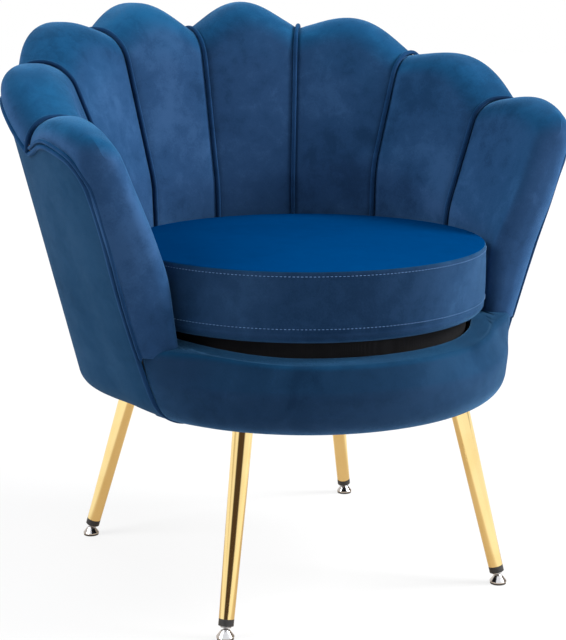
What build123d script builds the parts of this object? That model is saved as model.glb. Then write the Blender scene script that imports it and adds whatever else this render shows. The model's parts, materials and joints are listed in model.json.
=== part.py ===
"""Scalloped tub armchair: channelled shell back, loose round cushion, four splayed metal legs.

Millimetres, +Z up, the front faces -Y, the origin is on the floor under the middle of the chair.
Radii of the upholstery are measured from the seat axis, the vertical line through the cushion.
A station runs along the shell: 0 is the seam at the middle of the back, 1 to 3 are the next seams
and 4 is the front of the arm.
"""

import math
import os

from build123d import *

# Seat, which the radii of the back and the base start from
SEAT_RADIUS = 249.0
HOOP_TOP = 350.0  # height of the ring under the deck, which the pads and the rail stand over

# Back and arms
BACK_DEPTH = 105.6  # from the cushion to the outside of the back at LEAN_HEIGHT
LEAN_HEIGHT = 478.0
OUTER_LEAN = 0.238  # how far the outside leans out for each unit of height
SEAM_TURN = 32.0  # angle from one seam to the next
FAN_SETBACK = 68.0  # the seam planes meet this far behind the seat axis
ARM_FRONT = 110.0  # front of the arms, in front of the seat axis
SEAM_CREST = (750.0, 748.0, 709.0, 658.0, 640.0)  # top of the roll at each seam and the arm front
LOBE_RISE = (36.0, 31.0, 24.0, 10.0)  # how far the middle of each petal stands above its seams
KNEE_GAP = (30.0, 29.0, 21.0, 11.0, 14.0)  # cushion to the inside face where it starts to lean out
KNEE_HEIGHT = (516.0, 530.0, 545.0, 490.0, 455.0)
FOOT_GAP = (25.0, 22.0, 13.0, 8.0, 1.0)  # cushion to the inside face at the deck
FACE_LEAN = (0.22, 0.245, 0.38, 0.30, 0.42)
CHANNEL_PARTS = 4  # lofted parts from one seam to the next
PETAL_CROWN = 13.0
KNEE_CROWN = 0.35  # share of the crown that is left at the knee
KNEE_ROUND = 150.0
ROLL_ROUND = (56.0, 56.0, 50.0, 44.0, 27.0)  # inner round of the top at each seam
LIP_ROUND = (28.0, 28.0, 32.0, 34.0, 11.0)  # outer round of the top at each seam
ROLL_SHARE = 0.99  # most of the top's width that the inner round takes, past the outer round
LIP_SHARE = 0.6  # most of the top's width that the outer round takes
LIP_DEPTH = 42.0  # from the crest down to the edge of the outside cover
LIP_BEND = 60.0
PETAL_FOOT_GAP = 6.0  # foot of the pads above the ring
ARM_PULL = 34.0  # how far the arm is drawn in at the base, fading with height
PULL_START = 340.0
PULL_END = 660.0
PULL_FROM = 2.4  # stations between which the pull sets in
PULL_TO = 3.4
SHELL_PLY = 12.0
SHELL_END = 3.72  # station where the bent plywood stops
SHELL_LIFT = 2.0  # foot of the plywood above the round edge of the cover
COVER = 3.0  # outside cover with its wadding
COVER_END = 3.93
COVER_ROUND_BACK = 15.0
COVER_ROUND_SIDE = 50.0
ROUND_FROM = 1.7  # stations between which the round edge grows
ROUND_TO = 2.8
HEM = 1.0  # flat of the cover past its round edge
PIPING_DEPTH = 0.1  # centre of the piping below the surface of the cover
NOSE_ROUND = 22.0
NOSE_FOOT_GAP = 0.5  # foot of the arm front above the rail
NOSE_STATIONS = (SHELL_END + 0.002, 3.86, 3.91, 3.955, 3.985)
NOSE_TOP_ROUNDS = (0.5, 0.4)  # most that the rounds of its top take, as a share of its width
WELT_RADIUS = 3.3
WELT_SEAT_FACE = 3.9  # welt centre to the bottom of its seam on the face
WELT_SEAT_CREST = 4.8
FIT = 0.3
REACH_STEPS = 20

# Base
UNDERSIDE = 266.0
BOARD_SETBACK = 9.0  # front of the board behind the cushion's edge
BOARD_OVER_HEM = 3.0  # how far the board reaches over the hem of the outside cover
BOARD_POINTS = 13  # points of the outline from the back to the arm front
BOARD = 18.0
BOARD_GAP = 0.5
RAIL_GAP = 0.4  # between the front edge of the board and the rail
HOOP_SETBACK = 11.0  # outside of the ring inside the cushion's edge
HOOP_PLY = 12.0
BLOCK_ANGLES = (0.0, 20.0, -20.0, 40.0, -40.0, 60.0, -60.0)
BLOCK_HALF_WIDTH = 15.0
BLOCK_DROP = 11.0  # top of the blocks below the pads
BLOCK_GAP = 0.9
RAIL_REACH = 31.0  # belly of the rail past the cushion's edge
RAIL_FLARE = 5.0  # how far the belly leans out from the underside
RAIL_EASE = 0.6  # what the round belly stays inside its corner
RAIL_BELLY_DROP = 39.0  # belly below the top of the strip
RAIL_STRIP = 7.0  # thickness of the strip in front of the cushion
RAIL_EDGE_REACH = 13.0  # front edge of the strip past the cushion's edge
RAIL_SLOPE = 4.0
RAIL_ROUNDS = {1: 36.0, 2: 28.0, 3: 12.0}  # underside, belly and front edge of the strip
RAIL_TONGUE_SETBACK = 21.0  # inner edge of the strip inside the cushion's edge
RAIL_TONGUE_GAP = 4.0  # strip above the ring
RAIL_END_GAP = 0.6  # between the ends of the rail and the piping of the arms
DUST_COVER = 1.0
DUST_COVER_GAP = 3.0

# Deck and cushion
STRAP_WIDTH = 50.0
STRAP = 1.5
STRAP_PITCH = 92.0
STRAP_COUNT = 4
STRAP_SETBACK = 2.0  # ends of the straps inside the ring's outer face
DECK_SETBACK = 27.0  # edge of the deck inside the cushion's edge
DECK_TOP = 387.0
DECK_ROUND = 8.0
CUSHION_DRAW = 2.5  # how far the seams are drawn in
CUSHION_FOOT = 387.3
BOXING_FOOT = 395.0
BOXING_TOP = 473.0
CUSHION_CROWN = 488.0
CUSHION_FLAT = 190.0
CUSHION_SKIN = 2.0
SKIN_GAP = 0.1
ZIP_HALF_TURN = 40.0
ZIP_WIDTH = 10.0
ZIP = 0.8
ZIP_GAP = 0.1
SLIDER = (8.0, 2.6, 12.0)

# Legs and feet
FRONT_LEG_REACH = -36.8  # tops of the legs past the cushion's edge
REAR_LEG_REACH = 21.6
FRONT_LEG_TURN = 130.2  # from straight back
REAR_LEG_TURN = 37.0
FRONT_SPLAY = (48.0, -43.0)  # right foot from the top of its leg
REAR_SPLAY = (57.0, 54.0)
LEG_TOP_RADIUS = 13.5
LEG_FOOT_RADIUS = 10.0
LEG_WALL = 1.5
PLATE_RADIUS = 30.0
PLATE = 3.0
PLATE_SHIFT = 16.0
PLATE_CUTOUT_GAP = 1.0
BOLT_CIRCLE = 22.0
BOLT_TURNS = (0.0, 115.0, -115.0)
BOLT_RADIUS = 3.0
BOLT_HEAD_RADIUS = 5.5
BOLT_HEAD = 3.5
BOLT_END = 1.0  # below the top of the board
NUT_FLANGE_RADIUS = 9.0
NUT_FLANGE = 1.5
NUT_BARREL_RADIUS = 4.0
NUT_BARREL = 11.0
BALL_HEIGHT = 8.5
BALL_RADIUS = 5.5
SOCKET_GAP = 0.3
NECK_RADIUS = 2.6
COLLAR_RADIUS = 7.0
COLLAR_START = 6.5  # along the leg, from the ball
COLLAR_END = 8.5
STEM_RADIUS = 4.0
STEM_END = 45.0
PLUG_START = 8.8
TUBE_START = 17.8
PLUG_END = 42.0
DOME_RADIUS = 11.5
DOME_TOP = 11.5
DOME_MOUTH_RADIUS = 4.7
DOME_CROWN_RADIUS = 6.0
DOME_RIM = 1.5
SOLE = 2.5
SOLE_RADIUS = 11.0

OUTER_RADIUS = SEAT_RADIUS + BACK_DEPTH
KNEE_RADIUS = [SEAT_RADIUS + gap for gap in KNEE_GAP]
FOOT_RADIUS = [SEAT_RADIUS + gap for gap in FOOT_GAP]
PETAL_FOOT = HOOP_TOP + PETAL_FOOT_GAP
BOARD_FRONT_RADIUS = SEAT_RADIUS - BOARD_SETBACK
HOOP_RADIUS = SEAT_RADIUS - HOOP_SETBACK
BLOCK_TOP = PETAL_FOOT - BLOCK_DROP
RAIL_RADIUS = SEAT_RADIUS + RAIL_REACH
RAIL_EDGE = SEAT_RADIUS + RAIL_EDGE_REACH
RAIL_TONGUE = SEAT_RADIUS - RAIL_TONGUE_SETBACK
RAIL_TONGUE_FOOT = HOOP_TOP + RAIL_TONGUE_GAP
RAIL_TOP = RAIL_TONGUE_FOOT + RAIL_STRIP
RAIL_BELLY_HEIGHT = RAIL_TOP - RAIL_BELLY_DROP
NOSE_FOOT = RAIL_TOP + NOSE_FOOT_GAP
DECK_RADIUS = SEAT_RADIUS - DECK_SETBACK
BOARD_FOOT = UNDERSIDE + COVER + BOARD_GAP
BOARD_TOP = BOARD_FOOT + BOARD
SHELL_FOOT = UNDERSIDE + COVER_ROUND_SIDE + SHELL_LIFT
RIGHT_TO_LEFT = Plane.YZ


def ease(value):
    """Smooth step from 0 to 1."""
    t = min(max(value, 0.0), 1.0)
    return t * t * (3 - 2 * t)


def along(values, station):
    """Value at a station, straight from one seam to the next."""
    first = min(int(station), len(values) - 2)
    return values[first] + (values[first + 1] - values[first]) * (station - first)


def arch(station):
    """0 at the seams and 1 in the middle of a petal."""
    t = station - min(int(station), len(LOBE_RISE) - 1)
    return 4 * t * (1 - t)


def crest(station):
    """Height of the scalloped top."""
    petal = min(int(station), len(LOBE_RISE) - 1)
    return along(SEAM_CREST, station) + LOBE_RISE[petal] * arch(station)


def lip(station):
    """Height where the outside cover meets the petals."""
    return crest(station) - LIP_DEPTH


def outer(station, height):
    """Outside radius of the shell, drawn in towards the arm front."""
    cone = OUTER_RADIUS + OUTER_LEAN * (height - LEAN_HEIGHT)
    fade = (height - PULL_START) / (PULL_END - PULL_START)
    pull = ARM_PULL * (1 - min(max(fade, 0.0), 1.0))
    return cone - pull * ease((station - PULL_FROM) / (PULL_TO - PULL_FROM))


def station_plane(station):
    """Upright plane of a station: a fan up to the last seam, then towards the arm front."""
    last_seam = len(LOBE_RISE) - 1
    fan = min(station, last_seam)
    past = max(station - last_seam, 0.0)
    start = FAN_SETBACK - (FAN_SETBACK + ARM_FRONT) * past
    turn = SEAM_TURN * fan + (90.0 - SEAM_TURN * last_seam) * past
    return start, math.radians(turn)


def reach(station, radius):
    """Distance along a station's plane at which the seat axis is a radius away."""
    start, turn = station_plane(station)
    return math.sqrt(radius**2 - (start * math.sin(turn)) ** 2) - start * math.cos(turn)


def back_reach():
    """Furthest point of the back, on the round lip of the middle petals."""
    furthest = 0.0
    for number in range(1, REACH_STEPS):
        station = number / REACH_STEPS
        start, turn = station_plane(station)
        lip_reach = reach(station, outer(station, lip(station)))
        furthest = max(furthest, start + lip_reach * math.cos(turn))
    return furthest


# The origin is under the middle of the box, which reaches from the front rail to the back
SEAT_Y = (RAIL_RADIUS - RAIL_EASE - back_reach()) / 2
SEAT = Pos(0, SEAT_Y, 0)


def stand(station, face):
    """Puts a face drawn as (reach, height) upright in a station's plane."""
    start, turn = station_plane(station)
    along_plane = (math.sin(turn), math.cos(turn), 0)
    normal = (math.cos(turn), -math.sin(turn), 0)
    return Plane(origin=(0, SEAT_Y + start, 0), x_dir=along_plane, z_dir=normal) * face


def face_corners(station, crown=0.0, foot=PETAL_FOOT, inset=0.0):
    """Foot, knee and top corner of the inside face."""
    top = crest(station) - inset
    knee = (along(KNEE_RADIUS, station), along(KNEE_HEIGHT, station))
    foot_radius = along(FOOT_RADIUS, station)
    top_radius = knee[0] + along(FACE_LEAN, station) * (top - knee[1])
    return [
        (reach(station, foot_radius) + inset, foot),
        (reach(station, knee[0] - crown * KNEE_CROWN) + inset, knee[1]),
        (reach(station, top_radius - crown) + inset, top),
    ]


def top_rounds(station, width):
    """Inner and outer round of the top, as large as its width leaves room for."""
    half_corner = (math.pi / 2 - math.atan(along(FACE_LEAN, station))) / 2
    lip_round = min(along(LIP_ROUND, station), LIP_SHARE * width)
    roll_limit = ROLL_SHARE * (width - lip_round) / math.tan(half_corner)
    return min(along(ROLL_ROUND, station), roll_limit), lip_round


def petal_section(station):
    """Pad with a leaning face, a rolled top and a lip over the edge of the plywood."""
    edge = lip(station)
    top = crest(station)
    ply = COVER + SHELL_PLY + FIT
    lip_reach = reach(station, outer(station, edge))
    outside = [(lip_reach, top), (lip_reach, edge)]
    behind = [
        outside[1],
        (reach(station, outer(station, edge) - ply), edge),
        (reach(station, outer(station, PETAL_FOOT) - ply), PETAL_FOOT),
    ]
    front = face_corners(station, PETAL_CROWN * arch(station))
    rounds = (KNEE_ROUND, *top_rounds(station, lip_reach - front[2][0]))
    roll = FilletPolyline(*front, *outside, radius=rounds)
    back = Polyline(*behind, front[0])
    return stand(station, make_face([*roll.edges(), *back.edges()]))


def channel(section, number, end):
    """Lofts a section from one seam to the next, or to an end in the last channel."""
    last = end if number == len(LOBE_RISE) - 1 else number + 1
    steps = [number + (last - number) * part / CHANNEL_PARTS for part in range(CHANNEL_PARTS + 1)]
    return loft([section(station) for station in steps])


def petal(number):
    """One pad of the back."""
    return channel(petal_section, number, SHELL_END)


def nose_section(station):
    """Full thickness of the arm, drawn in towards the front so that it ends in a bullnose."""
    depth = (ARM_FRONT + FAN_SETBACK) * (station - 4) + NOSE_ROUND
    inset = NOSE_ROUND - math.sqrt(NOSE_ROUND**2 - max(depth, 0.0) ** 2)
    top = crest(station) - inset
    shell = COVER + FIT + inset
    lip_reach = reach(station, outer(station, lip(station))) - shell
    outside = [
        (lip_reach, top),
        (lip_reach, lip(station)),
        (reach(station, outer(station, NOSE_FOOT)) - shell, NOSE_FOOT),
    ]
    front = face_corners(station, foot=NOSE_FOOT, inset=inset)
    width = lip_reach - front[2][0]
    roll_round, lip_round = top_rounds(station, width)
    roll_share, lip_share = NOSE_TOP_ROUNDS
    top_radii = (min(roll_round, roll_share * width), min(lip_round, lip_share * width))
    outline = FilletPolyline(*front, *outside, radius=(KNEE_ROUND, *top_radii, LIP_BEND))
    bottom = Polyline(outside[-1], front[0])
    return stand(station, make_face([*outline.edges(), *bottom.edges()]))


def arm_nose():
    """Foam that wraps the front edge of the arm."""
    return loft([nose_section(station) for station in NOSE_STATIONS])


def shell_section(station):
    """Bent plywood of the back."""
    edge = lip(station) - FIT
    corners = []
    for inset in (COVER + FIT / 2, COVER + SHELL_PLY):
        for height in (SHELL_FOOT, edge):
            corners.append((reach(station, outer(station, height) - inset), height))
    return stand(station, make_face(Polyline(corners[0], corners[1], corners[3], corners[2], close=True)))


def turn_under(station):
    """Radius of the round edge under the outside cover: tight at the back, full at the sides."""
    growth = ease((station - ROUND_FROM) / (ROUND_TO - ROUND_FROM))
    return COVER_ROUND_BACK + (COVER_ROUND_SIDE - COVER_ROUND_BACK) * growth


def hem_reach(station):
    """Where the outside cover ends under the base."""
    half = (90.0 - math.degrees(math.atan(OUTER_LEAN))) / 2
    tangent = turn_under(station) * math.tan(math.radians(half))
    return reach(station, outer(station, UNDERSIDE)) - tangent - HEM


def cover_line(station, inset, edge, start=0.0):
    """Line of the outside cover, at a depth below its surface, from the hem to an upper edge."""
    foot = UNDERSIDE + inset
    hem = (hem_reach(station) + start, foot)
    corner = (reach(station, outer(station, foot) - inset), foot)
    top = (reach(station, outer(station, edge) - inset), edge)
    return FilletPolyline(hem, corner, top, radius=turn_under(station) - inset)


def cover_section(station):
    """Outside cover: it turns under the base with a round edge and ends at the lip."""
    outside, inside = [cover_line(station, inset, lip(station) - FIT) for inset in (0.0, COVER)]
    ends = [Line(outside @ 0, inside @ 0), Line(outside @ 1, inside @ 1)]
    return stand(station, make_face([*outside.edges(), *inside.edges(), *ends]))


def arm_piping():
    """Corded edge of the outside cover, down the front of the arm and under the base."""
    path = cover_line(COVER_END, PIPING_DEPTH, lip(COVER_END) - WELT_RADIUS, HEM)
    cord = sweep(Plane(origin=path @ 0, z_dir=path % 0) * Circle(WELT_RADIUS), path=path)
    return stand(COVER_END, Pos(0, 0, WELT_RADIUS + FIT) * cord)


def all_round(section, end):
    """Lofts a section channel by channel, mirrors it and joins both halves."""
    half = [channel(section, number, end) for number in range(len(LOBE_RISE))]
    right = half[0].fuse(*half[1:])
    return right.fuse(mirror(right, about=RIGHT_TO_LEFT))


def seam_welt(station):
    """Corded welt in the groove between two petals, over the roll to the lip."""
    foot, knee, top = face_corners(station)
    lip_reach = reach(station, outer(station, lip(station)))
    roll_round, lip_round = top_rounds(station, lip_reach - top[0])
    route = [
        (foot[0] - WELT_SEAT_FACE, foot[1] + WELT_RADIUS),
        (knee[0] - WELT_SEAT_FACE, knee[1]),
        (top[0] - WELT_SEAT_FACE, top[1] + WELT_SEAT_CREST),
        (lip_reach - lip_round, top[1] + WELT_SEAT_CREST),
    ]
    rounds = (KNEE_ROUND, roll_round + WELT_SEAT_FACE)
    path = FilletPolyline(*route, radius=rounds)
    cord = sweep(Plane(origin=path @ 0, z_dir=path % 0) * Circle(WELT_RADIUS), path=path)
    return stand(station, cord)


def turned(corners, rounds, arc=360.0, start=0.0):
    """Turns an outline of (radius, height) corners about the seat axis."""
    if rounds:
        outline = fillet_corners(corners, rounds)
    else:
        outline = make_face(Polyline(*corners, close=True))
    return SEAT * (Rot(0, 0, start) * revolve(Plane.XZ * outline, Axis.Z, arc))


def fillet_corners(corners, rounds):
    """Face with the named corners rounded: rounds maps a corner's number to its radius."""
    face = make_face(Polyline(*corners, close=True))
    for number, radius in rounds.items():
        corner = Vector(*corners[number])
        face = fillet(face.vertices().sort_by_distance(corner)[0], radius)
    return face


def base_outline(past_hem):
    """Follows the hem of the outside cover, at a distance past it, and is round at the front."""
    right = []
    for number in range(BOARD_POINTS + 1):
        station = COVER_END * number / BOARD_POINTS
        start, turn = station_plane(station)
        length = hem_reach(station) + past_hem
        right.append((length * math.sin(turn), SEAT_Y + start + length * math.cos(turn)))
    left = [(-x, y) for x, y in right]
    front = SEAT_Y - BOARD_FRONT_RADIUS + BOARD_OVER_HEM - past_hem
    sides = [Spline(*points, tangents=[(side, 0), (0, -1)]) for points, side in ((right, 1), (left, -1))]
    return make_face([*sides, ThreePointArc(right[-1], (0, front), left[-1])])


class Leg:
    """Axis of one leg, from the ball of its foot to the plate under the board."""

    def __init__(self, leg_reach, turn, splay, side):
        radius = SEAT_RADIUS + leg_reach
        top = (radius * math.sin(math.radians(turn)), radius * math.cos(math.radians(turn)))
        foot = (top[0] + splay[0], top[1] + splay[1])
        self.ball = Vector(side * foot[0], SEAT_Y + foot[1], BALL_HEIGHT)
        self.top = Vector(side * top[0], SEAT_Y + top[1], BOARD_FOOT - PLATE)
        self.way = (self.top - self.ball).normalized()
        self.length = (self.top - self.ball).length
        self.axis = Plane(origin=self.ball, z_dir=self.way)
        inward = Vector(-side * top[0], -top[1], 0).normalized()
        self.plate = Plane(origin=self.top + inward * PLATE_SHIFT, x_dir=inward, z_dir=(0, 0, 1))

    def bolts(self):
        """Planes of the bolts, at the underside of the plate."""
        planes = []
        for turn in BOLT_TURNS:
            angle = math.radians(turn)
            spot = (BOLT_CIRCLE * math.cos(angle), BOLT_CIRCLE * math.sin(angle))
            planes.append(self.plate * Pos(*spot, 0))
        return planes


LEGS = {
    "front_left": Leg(FRONT_LEG_REACH, FRONT_LEG_TURN, FRONT_SPLAY, -1),
    "front_right": Leg(FRONT_LEG_REACH, FRONT_LEG_TURN, FRONT_SPLAY, 1),
    "rear_left": Leg(REAR_LEG_REACH, REAR_LEG_TURN, REAR_SPLAY, -1),
    "rear_right": Leg(REAR_LEG_REACH, REAR_LEG_TURN, REAR_SPLAY, 1),
}


def rod(radius, start, end):
    """Round bar along the local Z axis."""
    return Pos(0, 0, start) * Cylinder(radius, end - start, align=(Align.CENTER, Align.CENTER, Align.MIN))


def taper(low_radius, high_radius, start, end):
    """Cone along the local Z axis."""
    bar = Cone(low_radius, high_radius, end - start, align=(Align.CENTER, Align.CENTER, Align.MIN))
    return Pos(0, 0, start) * bar


def leg_tube(leg):
    """Tapered tube, cut level where it meets the plate."""
    over = 2 * LEG_TOP_RADIUS
    growth = (LEG_TOP_RADIUS - LEG_FOOT_RADIUS) / (leg.length - TUBE_START)
    top_radius = LEG_TOP_RADIUS + growth * over
    end = leg.length + over
    outside = taper(LEG_FOOT_RADIUS, top_radius, TUBE_START, end)
    inside = taper(LEG_FOOT_RADIUS - LEG_WALL, top_radius - LEG_WALL, TUBE_START, end)
    above = Pos(leg.top.X, leg.top.Y, leg.top.Z) * Box(
        8 * over, 8 * over, 8 * over, align=(Align.CENTER, Align.CENTER, Align.MIN)
    )
    return leg.axis * (outside - inside) - above


def leg_plug(leg):
    """Plastic end of the leg, with the thread for the foot."""
    collar = rod(LEG_FOOT_RADIUS, PLUG_START, TUBE_START)
    insert = rod(LEG_FOOT_RADIUS - LEG_WALL - FIT, TUBE_START, PLUG_END)
    bore = rod(STEM_RADIUS + FIT, PLUG_START - 1, PLUG_END + 1)
    return leg.axis * (collar + insert - bore)


def foot_stem(leg):
    """Screw of the foot: ball, neck, collar and stem."""
    ball = Sphere(BALL_RADIUS)
    neck = rod(NECK_RADIUS, 0, COLLAR_END)
    collar = rod(COLLAR_RADIUS, COLLAR_START, COLLAR_END)
    stem = rod(STEM_RADIUS, COLLAR_END, STEM_END)
    return leg.axis * (ball + neck + collar + stem)


def foot_dome(leg):
    """Metal cup of the foot, closed over the ball."""
    profile = Polyline(
        (0, SOLE),
        (DOME_RADIUS, SOLE),
        (DOME_RADIUS, SOLE + DOME_RIM),
        (DOME_CROWN_RADIUS, DOME_TOP),
        (0, DOME_TOP),
        close=True,
    )
    cup = revolve(Plane.XZ * make_face(profile), Axis.Z)
    socket = Pos(0, 0, BALL_HEIGHT) * Sphere(BALL_RADIUS + SOCKET_GAP)
    mouth = rod(DOME_MOUTH_RADIUS, BALL_HEIGHT, DOME_TOP + 1)
    return Pos(leg.ball.X, leg.ball.Y, 0) * (cup - socket - mouth)


def foot_sole(leg):
    """Pad under the foot."""
    return Pos(leg.ball.X, leg.ball.Y, 0) * rod(SOLE_RADIUS, 0, SOLE)


def base_board():
    """Board that carries everything, bored and counterbored for the nuts of the leg plates."""
    board = Pos(0, 0, BOARD_FOOT) * extrude(base_outline(BOARD_OVER_HEM), BOARD)
    for leg in LEGS.values():
        for plane in leg.bolts():
            bore = rod(NUT_BARREL_RADIUS + FIT, 0, PLATE + BOARD + 1)
            seat = rod(NUT_FLANGE_RADIUS + FIT, PLATE + BOARD - NUT_FLANGE, PLATE + BOARD + 1)
            board -= plane * (bore + seat)
    return board


def leg_plate(leg):
    """Round steel plate welded to the top of the leg."""
    plate = leg.plate * rod(PLATE_RADIUS, 0, PLATE)
    for plane in leg.bolts():
        plate -= plane * rod(BOLT_RADIUS + FIT, -1, PLATE + 1)
    return plate


def plate_bolt(plane):
    """Bolt through a leg plate into its nut."""
    return plane * (rod(BOLT_HEAD_RADIUS, -BOLT_HEAD, 0) + rod(BOLT_RADIUS, 0, PLATE + BOARD - BOLT_END))


def tee_nut(plane):
    """Nut with a flange, sunk flush into the board."""
    top = PLATE + BOARD
    flange = rod(NUT_FLANGE_RADIUS, top - NUT_FLANGE, top)
    barrel = rod(NUT_BARREL_RADIUS, top - NUT_BARREL, top)
    bore = rod(BOLT_RADIUS + FIT, top - NUT_BARREL - 1, top + 1)
    return plane * (flange + barrel - bore)


def dust_cover():
    """Thin cloth under the board, cut out round the leg plates."""
    sheet = Pos(0, 0, BOARD_FOOT - DUST_COVER) * extrude(base_outline(-DUST_COVER_GAP), DUST_COVER)
    for leg in LEGS.values():
        sheet -= leg.plate * rod(PLATE_RADIUS + PLATE_CUTOUT_GAP, -PLATE, 2 * PLATE)
    return sheet


def hoop(start):
    """Half of the bent plywood ring that carries the deck."""
    inner = HOOP_RADIUS - HOOP_PLY
    corners = [(inner, BOARD_TOP), (HOOP_RADIUS, BOARD_TOP), (HOOP_RADIUS, HOOP_TOP), (inner, HOOP_TOP)]
    return turned(corners, {}, 180.0, start)


def shell_block(angle):
    """Wooden block between the ring and the plywood of the back."""
    inner = HOOP_RADIUS + FIT
    outside = [outer(0, height) - COVER - SHELL_PLY - BLOCK_GAP for height in (BOARD_TOP, BLOCK_TOP)]
    side = [(inner, BOARD_TOP), (outside[0], BOARD_TOP), (outside[1], BLOCK_TOP), (inner, BLOCK_TOP)]
    upright = Plane(origin=(0, 0, 0), x_dir=(0, 1, 0), z_dir=(1, 0, 0))
    block = extrude(upright * make_face(Polyline(*side, close=True)), BLOCK_HALF_WIDTH, both=True)
    return SEAT * (Rot(0, 0, -angle) * block)


def front_rail_pad():
    """Padded front of the base, with its round belly and the strip in front of the cushion."""
    inner = BOARD_FRONT_RADIUS + RAIL_GAP
    corners = [
        (inner, UNDERSIDE),
        (RAIL_RADIUS - RAIL_FLARE, UNDERSIDE),
        (RAIL_RADIUS, RAIL_BELLY_HEIGHT),
        (RAIL_EDGE, RAIL_TOP - RAIL_SLOPE),
        (RAIL_TONGUE, RAIL_TOP),
        (RAIL_TONGUE, RAIL_TONGUE_FOOT),
        (inner, RAIL_TONGUE_FOOT),
    ]
    pad = turned(corners, RAIL_ROUNDS, 180.0, 180.0)
    start, turn = station_plane(COVER_END)
    end = start + RAIL_RADIUS * math.cos(turn) - 2 * WELT_RADIUS - FIT - RAIL_END_GAP
    front = Plane(origin=(0, SEAT_Y + end, 0), z_dir=(0, -1, 0))
    return split(pad, bisect_by=front, keep=Keep.TOP)


def straps(foot, turn):
    """Elastic webbing over the ring."""
    bands = []
    for number in range(STRAP_COUNT):
        side = (number - (STRAP_COUNT - 1) / 2) * STRAP_PITCH
        edge = abs(side) + STRAP_WIDTH / 2
        length = 2 * math.sqrt((HOOP_RADIUS - STRAP_SETBACK) ** 2 - edge**2)
        band = Box(STRAP_WIDTH, length, STRAP, align=(Align.CENTER, Align.CENTER, Align.MIN))
        bands.append(SEAT * (Rot(0, 0, turn) * (Pos(side, 0, foot) * band)))
    return Compound(children=bands)


def deck_pad():
    """Foam pad in black cloth that carries the cushion."""
    foot = HOOP_TOP + 2 * STRAP
    corners = [(0, foot), (DECK_RADIUS, foot), (DECK_RADIUS, DECK_TOP), (0, DECK_TOP)]
    return turned(corners, {2: DECK_ROUND})


def cushion_outline(inset):
    """Half section of the cushion: flat foot, drawn-in seams, bulged side and a crowned top."""
    seam = SEAT_RADIUS - CUSHION_DRAW - inset
    middle = (SEAT_RADIUS - inset, (BOXING_FOOT + BOXING_TOP) / 2)
    foot = CUSHION_FOOT + inset
    top = CUSHION_CROWN - inset
    low_seam = (seam, BOXING_FOOT)
    high_seam = (seam, BOXING_TOP)
    rise = top - BOXING_TOP
    dome = (seam**2 + rise**2) / (2 * rise)
    crown_middle = (seam / 2, top - dome + math.sqrt(dome**2 - (seam / 2) ** 2))
    return {
        "under": [Line((0, foot), (CUSHION_FLAT, foot)), Line((CUSHION_FLAT, foot), low_seam)],
        "side": [ThreePointArc(low_seam, middle, high_seam)],
        "top": [ThreePointArc(high_seam, crown_middle, (0, top))],
    }


def spun(edges):
    """Full turn of a closed half section about the seat axis."""
    return SEAT * revolve(Plane.XZ * make_face(edges), Axis.Z)


def cushion_core():
    """Foam of the cushion."""
    outline = cushion_outline(CUSHION_SKIN + SKIN_GAP)
    edges = [*outline["under"], *outline["side"], *outline["top"]]
    return spun([*edges, Line(edges[-1] @ 1, edges[0] @ 0)])


def cushion_panel(name):
    """One panel of the cushion's cover."""
    outside = cushion_outline(0.0)[name]
    inside = cushion_outline(CUSHION_SKIN)[name]
    joins = [Line(outside[0] @ 0, inside[0] @ 0), Line(outside[-1] @ 1, inside[-1] @ 1)]
    return spun([*outside, *inside, *joins])


def zip_band(inner, outside, half_height, half_turn):
    """Short piece of a ring round the back of the cushion, at half its height."""
    middle = (BOXING_FOOT + BOXING_TOP) / 2
    corners = [
        (inner, middle - half_height),
        (outside, middle - half_height),
        (outside, middle + half_height),
        (inner, middle + half_height),
    ]
    return turned(corners, {}, 2 * half_turn, 90.0 - half_turn)


def cushion_zip():
    """Closed zip in the back of the boxing."""
    start = SEAT_RADIUS + ZIP_GAP
    return zip_band(start, start + ZIP, ZIP_WIDTH / 2, ZIP_HALF_TURN)


def zip_slider():
    """Slider at the middle of the zip's travel."""
    start = SEAT_RADIUS + ZIP_GAP + ZIP + FIT
    half_turn = math.degrees(SLIDER[0] / 2 / start)
    return zip_band(start, start + SLIDER[1], SLIDER[2] / 2, half_turn)


def both_sides(name, right):
    """A right-hand piece and its mirror image."""
    return {f"{name}_right": right, f"{name}_left": mirror(right, about=RIGHT_TO_LEFT)}


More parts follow.
